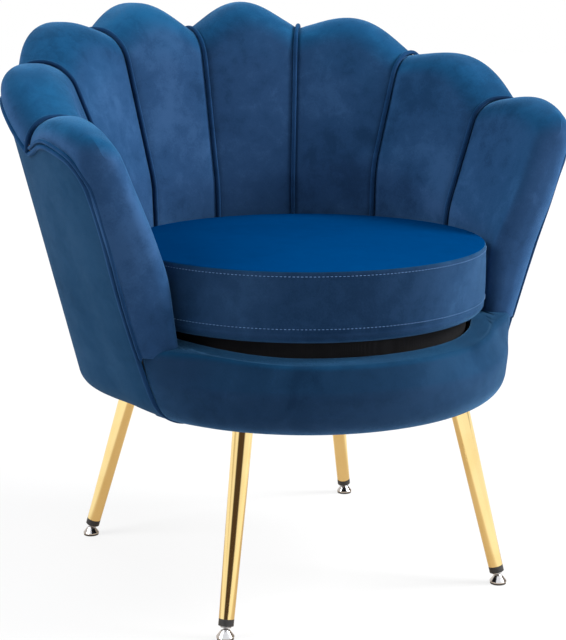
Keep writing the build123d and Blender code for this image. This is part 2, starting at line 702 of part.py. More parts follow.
def build():
    """Every node of the chair by name."""
    nodes = {
        "base_board": base_board(),
        "dust_cover": dust_cover(),
        "hoop_front": hoop(180.0),
        "hoop_back": hoop(0.0),
        "shell_blocks": Compound(children=[shell_block(angle) for angle in BLOCK_ANGLES]),
        "back_shell": all_round(shell_section, SHELL_END),
        "outside_cover": all_round(cover_section, COVER_END),
        "front_rail_pad": front_rail_pad(),
        "straps_long": straps(HOOP_TOP, 0.0),
        "straps_cross": straps(HOOP_TOP + STRAP, 90.0),
        "deck_pad": deck_pad(),
        "cushion_core": cushion_core(),
        "cushion_top": cushion_panel("top"),
        "cushion_boxing": cushion_panel("side"),
        "cushion_bottom": cushion_panel("under"),
        "cushion_zip": cushion_zip(),
        "zip_slider": zip_slider(),
        "welt_middle": seam_welt(0.0),
    }
    for number in range(len(LOBE_RISE)):
        nodes.update(both_sides(f"petal_{number + 1}", petal(number)))
    for number in range(1, len(LOBE_RISE)):
        nodes.update(both_sides(f"welt_{number}", seam_welt(float(number))))
    nodes.update(both_sides("arm_nose", arm_nose()))
    nodes.update(both_sides("arm_piping", arm_piping()))
    for name, leg in LEGS.items():
        nodes[f"leg_{name}"] = leg_tube(leg)
        nodes[f"plug_{name}"] = leg_plug(leg)
        nodes[f"stem_{name}"] = foot_stem(leg)
        nodes[f"dome_{name}"] = foot_dome(leg)
        nodes[f"sole_{name}"] = foot_sole(leg)
    bolts = [plane for leg in LEGS.values() for plane in leg.bolts()]
    nodes["leg_plates"] = Compound(children=[leg_plate(leg) for leg in LEGS.values()])
    nodes["plate_bolts"] = Compound(children=[plate_bolt(plane) for plane in bolts])
    nodes["tee_nuts"] = Compound(children=[tee_nut(plane) for plane in bolts])
    return nodes


os.makedirs("parts", exist_ok=True)
for node_name, shape in build().items():
    export_step(shape, f"parts/{node_name}.step")
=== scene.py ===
"""Dresses the scalloped tub armchair: velvet channels, corded seams, loose cushion, gold legs.

Metres, the same frame as the solids: +Z up, the front faces -Y. Radii of the upholstery are measured
from the seat axis. A station runs along the shell: 0 is the seam at the middle of the back, 1 to 3 are
the next seams and 4 is the front of the arm.
"""

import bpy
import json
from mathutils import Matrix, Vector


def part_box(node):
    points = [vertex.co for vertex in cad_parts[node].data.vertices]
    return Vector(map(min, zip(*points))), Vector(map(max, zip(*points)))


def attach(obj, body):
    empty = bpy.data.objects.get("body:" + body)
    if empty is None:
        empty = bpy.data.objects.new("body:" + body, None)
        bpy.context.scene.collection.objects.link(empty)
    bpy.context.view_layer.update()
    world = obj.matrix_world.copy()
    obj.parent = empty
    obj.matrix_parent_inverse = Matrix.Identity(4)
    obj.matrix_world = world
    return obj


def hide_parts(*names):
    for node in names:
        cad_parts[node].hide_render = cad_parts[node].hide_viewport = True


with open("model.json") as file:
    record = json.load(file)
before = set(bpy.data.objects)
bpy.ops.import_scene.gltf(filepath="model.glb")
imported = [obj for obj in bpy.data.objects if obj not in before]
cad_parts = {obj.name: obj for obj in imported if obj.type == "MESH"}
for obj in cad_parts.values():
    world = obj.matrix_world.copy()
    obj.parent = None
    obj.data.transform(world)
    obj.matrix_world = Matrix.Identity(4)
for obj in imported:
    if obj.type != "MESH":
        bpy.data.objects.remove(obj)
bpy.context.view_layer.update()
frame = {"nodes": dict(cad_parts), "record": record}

import json
import math

import bmesh
import bpy
import numpy as np
from mathutils import Vector

# Shell, as in the solids
OUTER_RADIUS = 0.3546
LEAN_HEIGHT = 0.478
OUTER_LEAN = 0.238
SEAM_TURN = math.radians(32.0)
FAN_SETBACK = 0.068
ARM_FRONT = 0.110
KNEE_RADIUS = (0.279, 0.278, 0.270, 0.260, 0.263)
KNEE_HEIGHT = (0.516, 0.530, 0.545, 0.490, 0.455)
FOOT_RADIUS = (0.274, 0.271, 0.262, 0.257, 0.250)
FACE_LEAN = (0.22, 0.245, 0.38, 0.30, 0.42)
KNEE_ROUND = 0.150
KNEE_CROWN = 0.35
PETAL_CROWN = 0.013
LIP_DEPTH = 0.042
PETAL_FOOT = 0.356
ARM_PULL = 0.034
PULL_HEIGHTS = (0.340, 0.660)
PULL_STATIONS = (2.4, 3.4)
SHELL_PLY = 0.012
SHELL_END = (3.70, 3.74)  # stations over which the shell under the arm's pad ends
COVER = 0.003
COVER_ROUND_BACK = 0.015
COVER_ROUND_SIDE = 0.050
ROUND_STATIONS = (1.7, 2.8)
UNDERSIDE = 0.266
HEM = 0.001
NOSE_FOOT = 0.3565
NOSE_FOOT_STATIONS = (3.6, 3.7)
PAD_ROUND = 0.002
FIT = 0.0003

# Softer forms that only the cloth has
SEAM_CREST = (0.746, 0.748, 0.709, 0.650, 0.634)  # top of the stuffed roll at each seam
LOBE_RISE = (0.040, 0.032, 0.028, 0.015)  # how far the middle of each channel stands above its seams
ROLL_ROUND = (0.056, 0.056, 0.050, 0.044, 0.046)  # inner round of the top at each seam
LIP_ROUND = (0.028, 0.028, 0.032, 0.034, 0.020)
PUFF_POWER = 2.1  # how flat a channel is in its middle
SCALLOP_POWER = 1.35  # how round the notches of the top are
LOBE_FLARE = (0.011, 0.010, 0.006)  # how far the top of each channel of the back leans out in its middle
FLARE_DEPTH = 0.090
SEAM_PINCH = 0.0022  # how deep the seams are drawn in
PINCH_WIDTH = 0.006
SHOW_STRAIGHTS = (12, 16, 3, 4)  # points along a section: face, upper face, roll and lip
SHOW_ROUNDS = (7, 14, 10)  # points round its knee, its roll and its lip
PINCH_FADE = SHOW_STRAIGHTS[-1] + 1  # last points of a section, over which the pinch runs out
CHANNEL_WIDTH = 0.135
LAST_SEAM = len(LOBE_RISE) - 1
ARM_END = len(LOBE_RISE)
ARM_SPAN = ARM_FRONT + FAN_SETBACK  # length of the arm's one station
EDGE_TOP = 3.960  # front edge of the outside cover at its upper corner
EDGE_HEIGHTS = (0.266, 0.320, 0.380, 0.420, 0.460, 0.510, 0.550)
EDGE_STATIONS = (3.88, 3.85, 3.855, 3.865, 3.89, 3.94, EDGE_TOP)
SLANT_START = 3.3  # from here the cover is cut to its slanting front edge
EDGE_LIFT = 0.008  # the rim of the cover stands higher along the arm
LIFT_STATIONS = (3.0, 3.5)
EDGE_BLEND = 0.004  # width over which the arm's pad comes out from under the cover
CORNER_ROUND = 0.030  # upper front corner of the outside cover
CORNER_START = EDGE_TOP - CORNER_ROUND / ARM_SPAN
ARM_POINTS = 46  # points up each side of the arm
FOOT_SHARES = (0.0, 0.003, 0.010)  # shares of a side at which its first, closer points lie
FLANK_POINTS = 24
NOSE_ROUND = 0.024
NOSE_START = 3.5
NOSE_OUT = 0.060  # stations by which the upper part of the arm front stands out
NOSE_OUT_HEIGHTS = (0.45, 0.53)
NOSE_MIDDLE_DROP = 0.018  # end of the front's middle line below its top
NOSE_EASE = 0.035
SOFT_HEIGHTS = (0.535, 0.575)  # the cloth over the arm front is smoothed from here up
SOFT_FRONTS = (0.070, 0.100)  # and from here on ahead of the seat axis
CORD_SIDES = 10
WELT_RADIUS = 0.0033
WELT_RISE = 0.0022  # welt centre above the seam line
PIPING_INWARD = 0.4 * WELT_RADIUS  # piping centre inside the edge of the cover
PIPING_OUT = 0.0004  # and outside its surface along the rim
PIPING_SINK = 0.0001  # and below its surface down the arm
SECOND_RADIUS = 0.0026  # thinner cord beside the piping of the arm
SECOND_GAP = 0.0058
SECOND_START = 3.03
SECOND_FOOT = 0.352
SECOND_OVER_LIP = 0.012
SECOND_EASE = 0.3
SECOND_STEPS = 18

# Base and cushion
RAIL_RADIUS = 0.280
RAIL_FLARE = 0.005
RAIL_BELLY_HEIGHT = 0.322
RAIL_TOP = 0.361
RAIL_EDGE = 0.262
RAIL_SLOPE = 0.004
RAIL_RISE = 0.010  # its top rises towards the arms
RAIL_RISE_START = 0.35  # share of its length at which it starts to rise
RAIL_LOW = UNDERSIDE + 0.0005  # its cloth hangs just above the edge of the cover
RAIL_UNDER_ROUND = 0.036
RAIL_BELLY_ROUND = 0.028
RAIL_EDGE_ROUND = 0.012
RAIL_BEHIND = 0.0008  # how far its ends lie inside the cover
RAIL_STEPS = 72
RAIL_INNER = 0.2404
RAIL_TONGUE = 0.228
RAIL_TONGUE_FOOT = 0.354
RAIL_TUCK = 0.005  # how far the ends of the rail run in behind the edge of the cover
RAIL_LEDGE = 0.256  # inside this radius the rail runs on under the arms
RAIL_LEDGE_END = 0.040
RAIL_TURN_START = 0.70  # share of its length at which the rail starts to follow the cover
DECK_MIDDLE = 0.02  # first ring of the deck's cloth about its middle
DECK_FOOT_ROUND = 0.004
DECK_TOP_ROUND = 0.010
CUSHION_SEGMENTS = 144
CUSHION_RADIUS = 0.249
CUSHION_DRAW = 0.0025
CUSHION_FOOT = 0.3873
BOXING_FOOT = 0.395
BOXING_TOP = 0.473
CUSHION_CROWN = 0.488
CUSHION_FLAT = 0.2235
FLAT_RINGS = (0.015, 0.04, 0.07, 0.11, 0.15, CUSHION_FLAT)
CUSHION_SAG = 0.010  # how far the under panel hangs down outside the deck
SAG_SHIFT = 0.0005  # middle of the sag, out from halfway to the seam
CROWN_BEFORE = 0.45  # share of the crown that the top has before it is blown up
CLOTH_FRAMES = 20
BOXING_BOW = 0.0005
BOXING_PUFF = 0.0026  # how far the boxed side is blown out
TOP_PUFF = 0.0082
SEAM_TUCK = 0.0014  # how far the cushion's seams are drawn in
SEAM_SLACK = 0.0005  # faces no lower than this below the upper seam belong to the top
PUCKER = 0.00045
PUCKER_TURNS = (1.9, 0.47)  # two uneven waves round a seam, in radians for each segment
STITCH_ROW = 2  # rings of points from a seam to its stitches
STITCH_PITCH = 0.0052
STITCH_HALF = 0.32 * STITCH_PITCH
STITCH_SIDES = 6
STITCH_RINGS = (  # share of its half length, radius and height above the cloth
    (-1.0, 0.0001, -0.0002),
    (-0.55, 0.00042, 0.0003),
    (0.55, 0.00042, 0.0003),
    (1.0, 0.0001, -0.0002),
)

ROUND_ROOM = 0.9  # share of the shorter straight beside it that a round corner may take
SIDES = ((1, "right"), (-1, "left"))
seat_low, seat_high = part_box("cushion_core")
SEAT_Y = (seat_low[1] + seat_high[1]) / 2


def ease(value):
    """Smooth step from 0 to 1."""
    t = min(max(value, 0.0), 1.0)
    return t * t * (3 - 2 * t)


def along(values, station):
    """Value at a station, straight from one seam to the next."""
    first = min(int(station), len(values) - 2)
    return values[first] + (values[first + 1] - values[first]) * (station - first)


def between(value, span):
    """Smooth step from 0 at the start of a span to 1 at its end."""
    return ease((value - span[0]) / (span[1] - span[0]))


def channel_place(station):
    """How far a station lies across its channel, from 0 to 1."""
    return station - min(int(station), LAST_SEAM)


def puff(station):
    """Fullness of the stuffed cloth: 0 at the seams and 1 in the middle of a channel."""
    t = channel_place(station)
    return 1 - abs(2 * t - 1) ** PUFF_POWER


def scallop(station):
    """Arch of the top edge: 0 at the seams and 1 in the middle of a channel, with soft notches."""
    return max(math.sin(math.pi * channel_place(station)), 0.0) ** SCALLOP_POWER


def crest(station):
    """Height of the scalloped top."""
    channel = min(int(station), LAST_SEAM)
    return along(SEAM_CREST, station) + LOBE_RISE[channel] * scallop(station)


def lip(station):
    """Height where the outside cover meets the channels."""
    return crest(station) - LIP_DEPTH


def outer(station, height):
    """Outside radius of the shell, drawn in towards the arm front."""
    cone = OUTER_RADIUS + OUTER_LEAN * (height - LEAN_HEIGHT)
    fade = (height - PULL_HEIGHTS[0]) / (PULL_HEIGHTS[1] - PULL_HEIGHTS[0])
    pull = ARM_PULL * (1 - min(max(fade, 0.0), 1.0))
    return cone - pull * between(station, PULL_STATIONS)


def station_plane(station):
    """Upright plane of a station: a fan up to the last seam, then towards the arm front."""
    fan = min(station, LAST_SEAM)
    past = max(station - LAST_SEAM, 0.0)
    start = FAN_SETBACK - ARM_SPAN * past
    turn = SEAM_TURN * fan + (math.pi / 2 - SEAM_TURN * LAST_SEAM) * past
    return start, turn


def reach(station, radius):
    """Distance along a station's plane at which the seat axis is a radius away."""
    start, turn = station_plane(station)
    return math.sqrt(radius**2 - (start * math.sin(turn)) ** 2) - start * math.cos(turn)


def stand(station, points, side=1):
    """Puts (reach, height) points upright in a station's plane, on the right or mirrored to the left."""
    start, turn = station_plane(station)
    flat = np.array(points, float)
    if station < len(LOBE_FLARE):
        foot = crest(station) - FLARE_DEPTH
        flare = [ease((height - foot) / FLARE_DEPTH) for height in flat[:, 1]]
        flat[:, 0] += LOBE_FLARE[int(station)] * scallop(station) * np.array(flare)
    x = side * flat[:, 0] * math.sin(turn)
    y = SEAT_Y + start + flat[:, 0] * math.cos(turn)
    return np.stack([x, y, flat[:, 1]], axis=1)


def rounded(corners, radii, straights, arcs):
    """Points along a line with round corners, with a set number on each straight and each round."""
    corners = [np.asarray(corner, float) for corner in corners]
    starts = [corners[0]]
    ends = []
    rounds = []
    for number, radius in enumerate(radii, start=1):
        before = corners[number - 1] - corners[number]
        after = corners[number + 1] - corners[number]
        room = min(np.linalg.norm(before), np.linalg.norm(after))
        before = before / np.linalg.norm(before)
        after = after / np.linalg.norm(after)
        half = math.acos(float(np.clip(before @ after, -1, 1))) / 2
        radius = min(radius, ROUND_ROOM * room * math.tan(half))
        tangent = radius / math.tan(half)
        middle = before + after
        centre = corners[number] + middle / np.linalg.norm(middle) * radius / math.sin(half)
        first = corners[number] + before * tangent
        last = corners[number] + after * tangent
        rounds.append((first - centre, last - centre, centre))
        ends.append(first)
        starts.append(last)
    ends.append(corners[-1])
    points = []
    for number, (start, end) in enumerate(zip(starts, ends)):
        for step in range(straights[number]):
            points.append(start + (end - start) * step / straights[number])
        if number < len(rounds):
            first, last, centre = rounds[number]
            cosine = float(np.clip(first @ last / (np.linalg.norm(first) * np.linalg.norm(last)), -1, 1))
            turn = math.acos(cosine)
            for step in range(arcs[number]):
                t = step / arcs[number]
                arm = (math.sin((1 - t) * turn) * first + math.sin(t * turn) * last) / math.sin(turn)
                points.append(centre + arm)
    points.append(ends[-1])
    return np.array(points)


def normals_2d(points):
    """Unit normals of a line of points, to the left of its run."""
    run = np.gradient(points, axis=0)
    run /= np.linalg.norm(run, axis=1)[:, None]
    return np.stack([-run[:, 1], run[:, 0]], axis=1)


# Meshes


def make_object(name, points, faces, sharp=None):
    """Smooth mesh object from points and faces."""
    mesh = bpy.data.meshes.new(name)
    mesh.from_pydata([tuple(point) for point in points], [], faces)
    mesh.validate()
    mesh.shade_smooth()
    if sharp is not None:
        mesh.set_sharp_from_angle(angle=math.radians(sharp))
    piece = bpy.data.objects.new(name, mesh)
    bpy.context.scene.collection.objects.link(piece)
    return piece


def skin(name, rings, sharp=None, ladder=False):
    """Closed mesh through closed rings of equally many points.

    ladder closes the ends with a row of narrow faces between the two sides of the ring instead of one
    large face.
    """
    count = len(rings[0])
    points = np.concatenate(rings)
    faces = []
    for ring in range(len(rings) - 1):
        here = ring * count
        there = here + count
        for step in range(count):
            after = (step + 1) % count
            faces.append((here + step, here + after, there + after, there + step))
    last = (len(rings) - 1) * count
    if ladder:
        for step in range(count // 2):
            rung = (step, step + 1, count - 2 - step, count - 1 - step)
            rung = tuple(dict.fromkeys(rung))
            if len(rung) > 2:
                faces.append(rung[::-1])
                faces.append(tuple(last + number for number in rung))
    else:
        faces.append(tuple(range(count - 1, -1, -1)))
        faces.append(tuple(range(last, last + count)))
    return make_object(name, points, faces, sharp)


def cord(name, path, radius):
    """Round cord along a line of points, with closed ends."""
    path = np.asarray(path, float)
    run = np.gradient(path, axis=0)
    run /= np.linalg.norm(run, axis=1)[:, None]
    across = np.cross(run[0], (0.0, 0.0, 1.0))
    if np.linalg.norm(across) < 1e-6:
        across = np.cross(run[0], (0.0, 1.0, 0.0))
    turns = [2 * math.pi * step / CORD_SIDES for step in range(CORD_SIDES)]
    rings = []
    for point, way in zip(path, run):
        across = across - way * (across @ way)
        across /= np.linalg.norm(across)
        up = np.cross(way, across)
        spokes = [math.cos(turn) * across + math.sin(turn) * up for turn in turns]
        rings.append(np.array([point + radius * spoke for spoke in spokes]))
    return skin(name, rings)


def lathe(name, outline, segments):
    """Turns (radius, height) points about the seat axis and closes both ends on it."""
    points = []
    faces = []
    count = len(outline)
    for step in range(segments):
        angle = 2 * math.pi * step / segments
        points += [(r * math.cos(angle), SEAT_Y + r * math.sin(angle), z) for r, z in outline]
    poles = [len(points), len(points) + 1]
    points += [(0.0, SEAT_Y, outline[0][1]), (0.0, SEAT_Y, outline[-1][1])]
    for step in range(segments):
        here = step * count
        there = (step + 1) % segments * count
        faces.append((poles[0], there, here))
        faces.append((poles[1], here + count - 1, there + count - 1))
        for number in range(count - 1):
            faces.append((here + number, there + number, there + number + 1, here + number + 1))
    return make_object(name, points, faces)


def face_outward(piece):
    """Turns all faces of a closed mesh outwards."""
    shape = bmesh.new()
    shape.from_mesh(piece.data)
    bmesh.ops.recalc_face_normals(shape, faces=shape.faces)
    shape.to_mesh(piece.data)
    shape.free()
    return piece


def subdivide(piece):
    """Adds one level of a subdivision surface."""
    modifier = piece.modifiers.new("smooth", "SUBSURF")
    modifier.levels = 1
    modifier.render_levels = 1


def dress(piece, body, material, slot, *nodes):
    """Gives a piece its material and the body it rides on, and hides the solids it stands for."""
    piece.data.materials.clear()
    piece.data.materials.append(material)
    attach(piece, body)
    if nodes:
        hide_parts(*nodes)


# Materials


def node_group(name, inputs, outputs):
    """Empty shader node group with named sockets."""
    tree = bpy.data.node_groups.new(name, "ShaderNodeTree")
    for label, kind, value in inputs:
        socket = tree.interface.new_socket(label, in_out="INPUT", socket_type=kind)
        socket.default_value = value
    for label, kind in outputs:
        tree.interface.new_socket(label, in_out="OUTPUT", socket_type=kind)
    return tree, tree.nodes.new("NodeGroupInput"), tree.nodes.new("NodeGroupOutput")


def add_noise(tree, scale, detail, distortion=0.0, roughness=0.5, stretch=(1.0, 1.0, 1.0)):
    """Noise in object coordinates; returns its value socket."""
    place = tree.nodes.new("ShaderNodeTexCoord")
    mapping = tree.nodes.new("ShaderNodeMapping")
    mapping.inputs["Scale"].default_value = stretch
    noise = tree.nodes.new("ShaderNodeTexNoise")
    noise.inputs["Detail"].default_value = detail
    noise.inputs["Distortion"].default_value = distortion
    noise.inputs["Roughness"].default_value = roughness
    tree.links.new(place.outputs["Object"], mapping.inputs["Vector"])
    tree.links.new(mapping.outputs["Vector"], noise.inputs["Vector"])
    if isinstance(scale, (int, float)):
        noise.inputs["Scale"].default_value = scale
    else:
        tree.links.new(scale, noise.inputs["Scale"])
    return noise.outputs["Fac"]


def add_range(tree, value, low, high, to_low=0.0, to_high=1.0):
    """Maps a value from one range to another, smoothly."""
    node = tree.nodes.new("ShaderNodeMapRange")
    node.interpolation_type = "SMOOTHSTEP"
    node.inputs["From Min"].default_value = low
    node.inputs["From Max"].default_value = high
    node.inputs["To Min"].default_value = to_low
    node.inputs["To Max"].default_value = to_high
    tree.links.new(value, node.inputs["Value"])
    return node.outputs["Result"]


def add_math(tree, operation, first, second):
    """Math node on two sockets or numbers."""
    node = tree.nodes.new("ShaderNodeMath")
    node.operation = operation
    for number, value in enumerate((first, second)):
        if isinstance(value, (int, float)):
            node.inputs[number].default_value = value
        else:
            tree.links.new(value, node.inputs[number])
    return node.outputs["Value"]


def add_mix(tree, factor, first, second, blend="MIX"):
    """Mixes two colours, given as sockets or as values.

    The sockets go by number, because a Mix node has others of the same name for its other kinds.
    """
    node = tree.nodes.new("ShaderNodeMix")
    node.data_type = "RGBA"
    node.blend_type = blend
    if isinstance(factor, (int, float)):
        node.inputs[0].default_value = factor
    else:
        tree.links.new(factor, node.inputs[0])
    for socket, value in ((node.inputs[6], first), (node.inputs[7], second)):
        if isinstance(value, tuple):
            socket.default_value = value
        else:
            tree.links.new(value, socket)
    return node.outputs[2]


def nap_group():
    """Brushed patches of a pile cloth: where the pile lies the other way it looks lighter."""
    tree, given, result = node_group(
        "brushed_nap",
        [
            ("Base", "NodeSocketColor", (0.02, 0.06, 0.18, 1)),
            ("Brushed", "NodeSocketColor", (0.04, 0.10, 0.25, 1)),
            ("Shaded", "NodeSocketColor", (0.01, 0.03, 0.10, 1)),
            ("Patch Scale", "NodeSocketFloat", 5.0),
            ("Amount", "NodeSocketFloat", 0.6),
        ],
        [("Color", "NodeSocketColor"), ("Nap", "NodeSocketFloat")],
    )
    broad = add_noise(tree, given.outputs["Patch Scale"], detail=3.0, distortion=0.9)
    fine = add_noise(tree, 42.0, detail=5.0, distortion=0.4, roughness=0.62)
    speckle = add_noise(tree, 420.0, detail=3.0)
    mixed = add_math(tree, "MULTIPLY", broad, 0.58)
    mixed = add_math(tree, "ADD", mixed, add_math(tree, "MULTIPLY", fine, 0.30))
    mixed = add_math(tree, "ADD", mixed, add_math(tree, "MULTIPLY", speckle, 0.12))
    light = add_math(tree, "MULTIPLY", add_range(tree, mixed, 0.49, 0.62), given.outputs["Amount"])
    dark = add_math(tree, "MULTIPLY", add_range(tree, mixed, 0.50, 0.38), given.outputs["Amount"])
    colour = add_mix(tree, light, given.outputs["Base"], given.outputs["Brushed"])
    colour = add_mix(tree, dark, colour, given.outputs["Shaded"])
    tree.links.new(colour, result.inputs["Color"])
    tree.links.new(mixed, result.inputs["Nap"])
    return tree


def pile_group():
    """Fine upright pile: a height that changes from fibre to fibre, and shallow ripples."""
    tree, given, result = node_group(
        "short_pile",
        [("Fibre Scale", "NodeSocketFloat", 1500.0), ("Ripple", "NodeSocketFloat", 0.3)],
        [("Height", "NodeSocketFloat")],
    )
    fibre = add_noise(tree, given.outputs["Fibre Scale"], detail=2.0)
    ripple = add_noise(tree, 60.0, detail=3.0, distortion=0.6)
    height = add_math(tree, "ADD", fibre, add_math(tree, "MULTIPLY", ripple, given.outputs["Ripple"]))
    tree.links.new(height, result.inputs["Height"])
    return tree


def weave_group():
    """Plain weave: threads over and under each other, as a height and a tone."""
    tree, given, result = node_group(
        "plain_weave",
        [("Thread Scale", "NodeSocketFloat", 350.0)],
        [("Height", "NodeSocketFloat"), ("Tone", "NodeSocketFloat")],
    )
    place = tree.nodes.new("ShaderNodeTexCoord")
    waves = []
    for direction in ("X", "Y"):
        wave = tree.nodes.new("ShaderNodeTexWave")
        wave.bands_direction = direction
        wave.inputs["Distortion"].default_value = 0.8
        tree.links.new(place.outputs["Object"], wave.inputs["Vector"])
        tree.links.new(given.outputs["Thread Scale"], wave.inputs["Scale"])
        waves.append(wave.outputs["Fac"])
    height = add_math(tree, "MAXIMUM", waves[0], waves[1])
    tree.links.new(height, result.inputs["Height"])
    tone = add_math(tree, "MULTIPLY", height, add_noise(tree, 25.0, detail=3.0))
    tree.links.new(tone, result.inputs["Tone"])
    return tree


def handling_group():
    """Smudges and fine scratches of handled metal or plastic: a roughness, a tone and a height."""
    tree, given, result = node_group(
        "handling",
        [
            ("Least", "NodeSocketFloat", 0.1),
            ("Most", "NodeSocketFloat", 0.2),
            ("Smudge Scale", "NodeSocketFloat", 40.0),
        ],
        [("Roughness", "NodeSocketFloat"), ("Tone", "NodeSocketFloat"), ("Height", "NodeSocketFloat")],
    )
    patches = add_noise(tree, given.outputs["Smudge Scale"], detail=4.0, distortion=0.5)
    smudge = add_range(tree, patches, 0.35, 0.7)
    scratch = add_noise(tree, 900.0, detail=2.0, stretch=(1.0, 1.0, 0.08))
    span = add_math(tree, "SUBTRACT", given.outputs["Most"], given.outputs["Least"])
    mixed = add_math(tree, "MULTIPLY", smudge, 0.7)
    mixed = add_math(tree, "ADD", mixed, add_math(tree, "MULTIPLY", scratch, 0.3))
    roughness = add_math(tree, "ADD", given.outputs["Least"], add_math(tree, "MULTIPLY", span, mixed))
    tree.links.new(roughness, result.inputs["Roughness"])
    tree.links.new(smudge, result.inputs["Tone"])
    tree.links.new(scratch, result.inputs["Height"])
    return tree


GROUPS = {
    "nap": nap_group(),
    "pile": pile_group(),
    "weave": weave_group(),
    "handling": handling_group(),
}


def new_material(name):
    """Material with a Principled shader; returns the material, its tree and the shader."""
    material = bpy.data.materials.new(name)
    material.use_nodes = True
    tree = material.node_tree
    shader = next(node for node in tree.nodes if node.type == "BSDF_PRINCIPLED")
    return material, tree, shader


def place_group(tree, name, **values):
    """Puts a shared group into a material with its own values."""
    node = tree.nodes.new("ShaderNodeGroup")
    node.node_tree = GROUPS[name]
    for label, value in values.items():
        node.inputs[label.replace("_", " ")].default_value = value
    return node


def add_bump(tree, shader, height, strength, distance):
    """Bump from a height into the shader's normal."""
    bump = tree.nodes.new("ShaderNodeBump")
    bump.inputs["Strength"].default_value = strength
    bump.inputs["Distance"].default_value = distance
    tree.links.new(height, bump.inputs["Height"])
    tree.links.new(bump.outputs["Normal"], shader.inputs["Normal"])


UP_FACING_SHADE = (0.12, 0.82, 0.86, 1)  # painted shade: tint multiplied into cloth that faces up
SHADE_FACING = (-0.45, -0.89, 0.0)  # cloth that faces this way gets painted shade
# Painted shade: tint multiplied into cloth that faces the front left
FRONT_LEFT_SHADE = (0.56, 0.59, 0.62, 1)
PILE_SHEEN = (0.20, 0.52, 0.95, 1)


def velvet(name, base, brushed, shaded, patch=5.0, amount=0.8, sheen=0.4, gloss=0.1):
    """Short-pile velvet with brushed patches and a sheen, and painted shade on cloth that faces up or
    faces the front left.
    """
    material, tree, shader = new_material(name)
    tones = {"Base": base, "Brushed": brushed, "Shaded": shaded}
    nap = place_group(tree, "nap", **tones, Patch_Scale=patch, Amount=amount)
    pile = place_group(tree, "pile", Fibre_Scale=1500.0, Ripple=0.35)
    facing = tree.nodes.new("ShaderNodeNewGeometry")
    parts = tree.nodes.new("ShaderNodeSeparateXYZ")
    tree.links.new(facing.outputs["Normal"], parts.inputs["Vector"])
    # Painted shade: cloth that faces up is multiplied by a darker, bluer tint.
    up_shade_mask = add_range(tree, parts.outputs["Z"], 0.1, 0.75)
    colour = add_mix(tree, up_shade_mask, nap.outputs["Color"], UP_FACING_SHADE, "MULTIPLY")
    # Painted shade: cloth that faces the front left is multiplied darker.
    front_left_facing = tree.nodes.new("ShaderNodeVectorMath")
    front_left_facing.operation = "DOT_PRODUCT"
    front_left_facing.inputs[1].default_value = SHADE_FACING
    tree.links.new(facing.outputs["Normal"], front_left_facing.inputs[0])
    front_left_shade_mask = add_range(tree, front_left_facing.outputs["Value"], 0.5, 0.98)
    colour = add_mix(tree, front_left_shade_mask, colour, FRONT_LEFT_SHADE, "MULTIPLY")
    tree.links.new(colour, shader.inputs["Base Color"])
    tree.links.new(add_range(tree, nap.outputs["Nap"], 0.3, 0.7, 0.95, 0.72), shader.inputs["Roughness"])
    shader.inputs["Specular IOR Level"].default_value = gloss
    shader.inputs["Sheen Weight"].default_value = sheen
    shader.inputs["Sheen Roughness"].default_value = 0.32
    shader.inputs["Sheen Tint"].default_value = PILE_SHEEN
    add_bump(tree, shader, pile.outputs["Height"], strength=0.35, distance=0.0012)
    return material


def cloth(name, base, thread, scale, bump=0.4):
    """Woven cloth with a tone that follows its threads."""
    material, tree, shader = new_material(name)
    weave = place_group(tree, "weave", Thread_Scale=scale)
    tree.links.new(add_mix(tree, weave.outputs["Tone"], base, thread), shader.inputs["Base Color"])
    roughness = add_range(tree, weave.outputs["Tone"], 0.0, 1.0, 0.92, 0.78)
    tree.links.new(roughness, shader.inputs["Roughness"])
    shader.inputs["Specular IOR Level"].default_value = 0.2
    add_bump(tree, shader, weave.outputs["Height"], strength=bump, distance=0.0006)
    return material


def metal(name, base, worn, least, most, smudge=40.0):
    """Polished or plated metal with smudges and hairline scratches."""
    material, tree, shader = new_material(name)
    marks = place_group(tree, "handling", Least=least, Most=most, Smudge_Scale=smudge)
    tree.links.new(add_mix(tree, marks.outputs["Tone"], base, worn), shader.inputs["Base Color"])
    tree.links.new(marks.outputs["Roughness"], shader.inputs["Roughness"])
    shader.inputs["Metallic"].default_value = 1.0
    add_bump(tree, shader, marks.outputs["Height"], strength=0.05, distance=0.0002)
    return material


def plastic(name, base, worn, least, most):
    """Moulded plastic with a fine grain and rubbed places."""
    material, tree, shader = new_material(name)
    marks = place_group(tree, "handling", Least=least, Most=most, Smudge_Scale=70.0)
    tree.links.new(add_mix(tree, marks.outputs["Tone"], base, worn), shader.inputs["Base Color"])
    tree.links.new(marks.outputs["Roughness"], shader.inputs["Roughness"])
    add_bump(tree, shader, add_noise(tree, 1100.0, detail=2.0), strength=0.15, distance=0.0003)
    return material


def plywood(name):
    """Raw birch plywood with long grain."""
    material, tree, shader = new_material(name)
    grain = add_noise(tree, 9.0, detail=6.0, distortion=0.6, roughness=0.6, stretch=(1.0, 14.0, 14.0))
    pores = add_noise(tree, 160.0, detail=3.0, stretch=(0.15, 1.0, 1.0))
    bands = add_range(tree, grain, 0.3, 0.7)
    colour = add_mix(tree, bands, (0.58, 0.40, 0.22, 1), (0.42, 0.27, 0.13, 1))
    colour = add_mix(tree, add_range(tree, pores, 0.55, 0.75), colour, (0.30, 0.18, 0.09, 1))
    tree.links.new(colour, shader.inputs["Base Color"])
    tree.links.new(add_range(tree, grain, 0.3, 0.7, 0.62, 0.78), shader.inputs["Roughness"])
    add_bump(tree, shader, pores, strength=0.2, distance=0.0004)
    return material


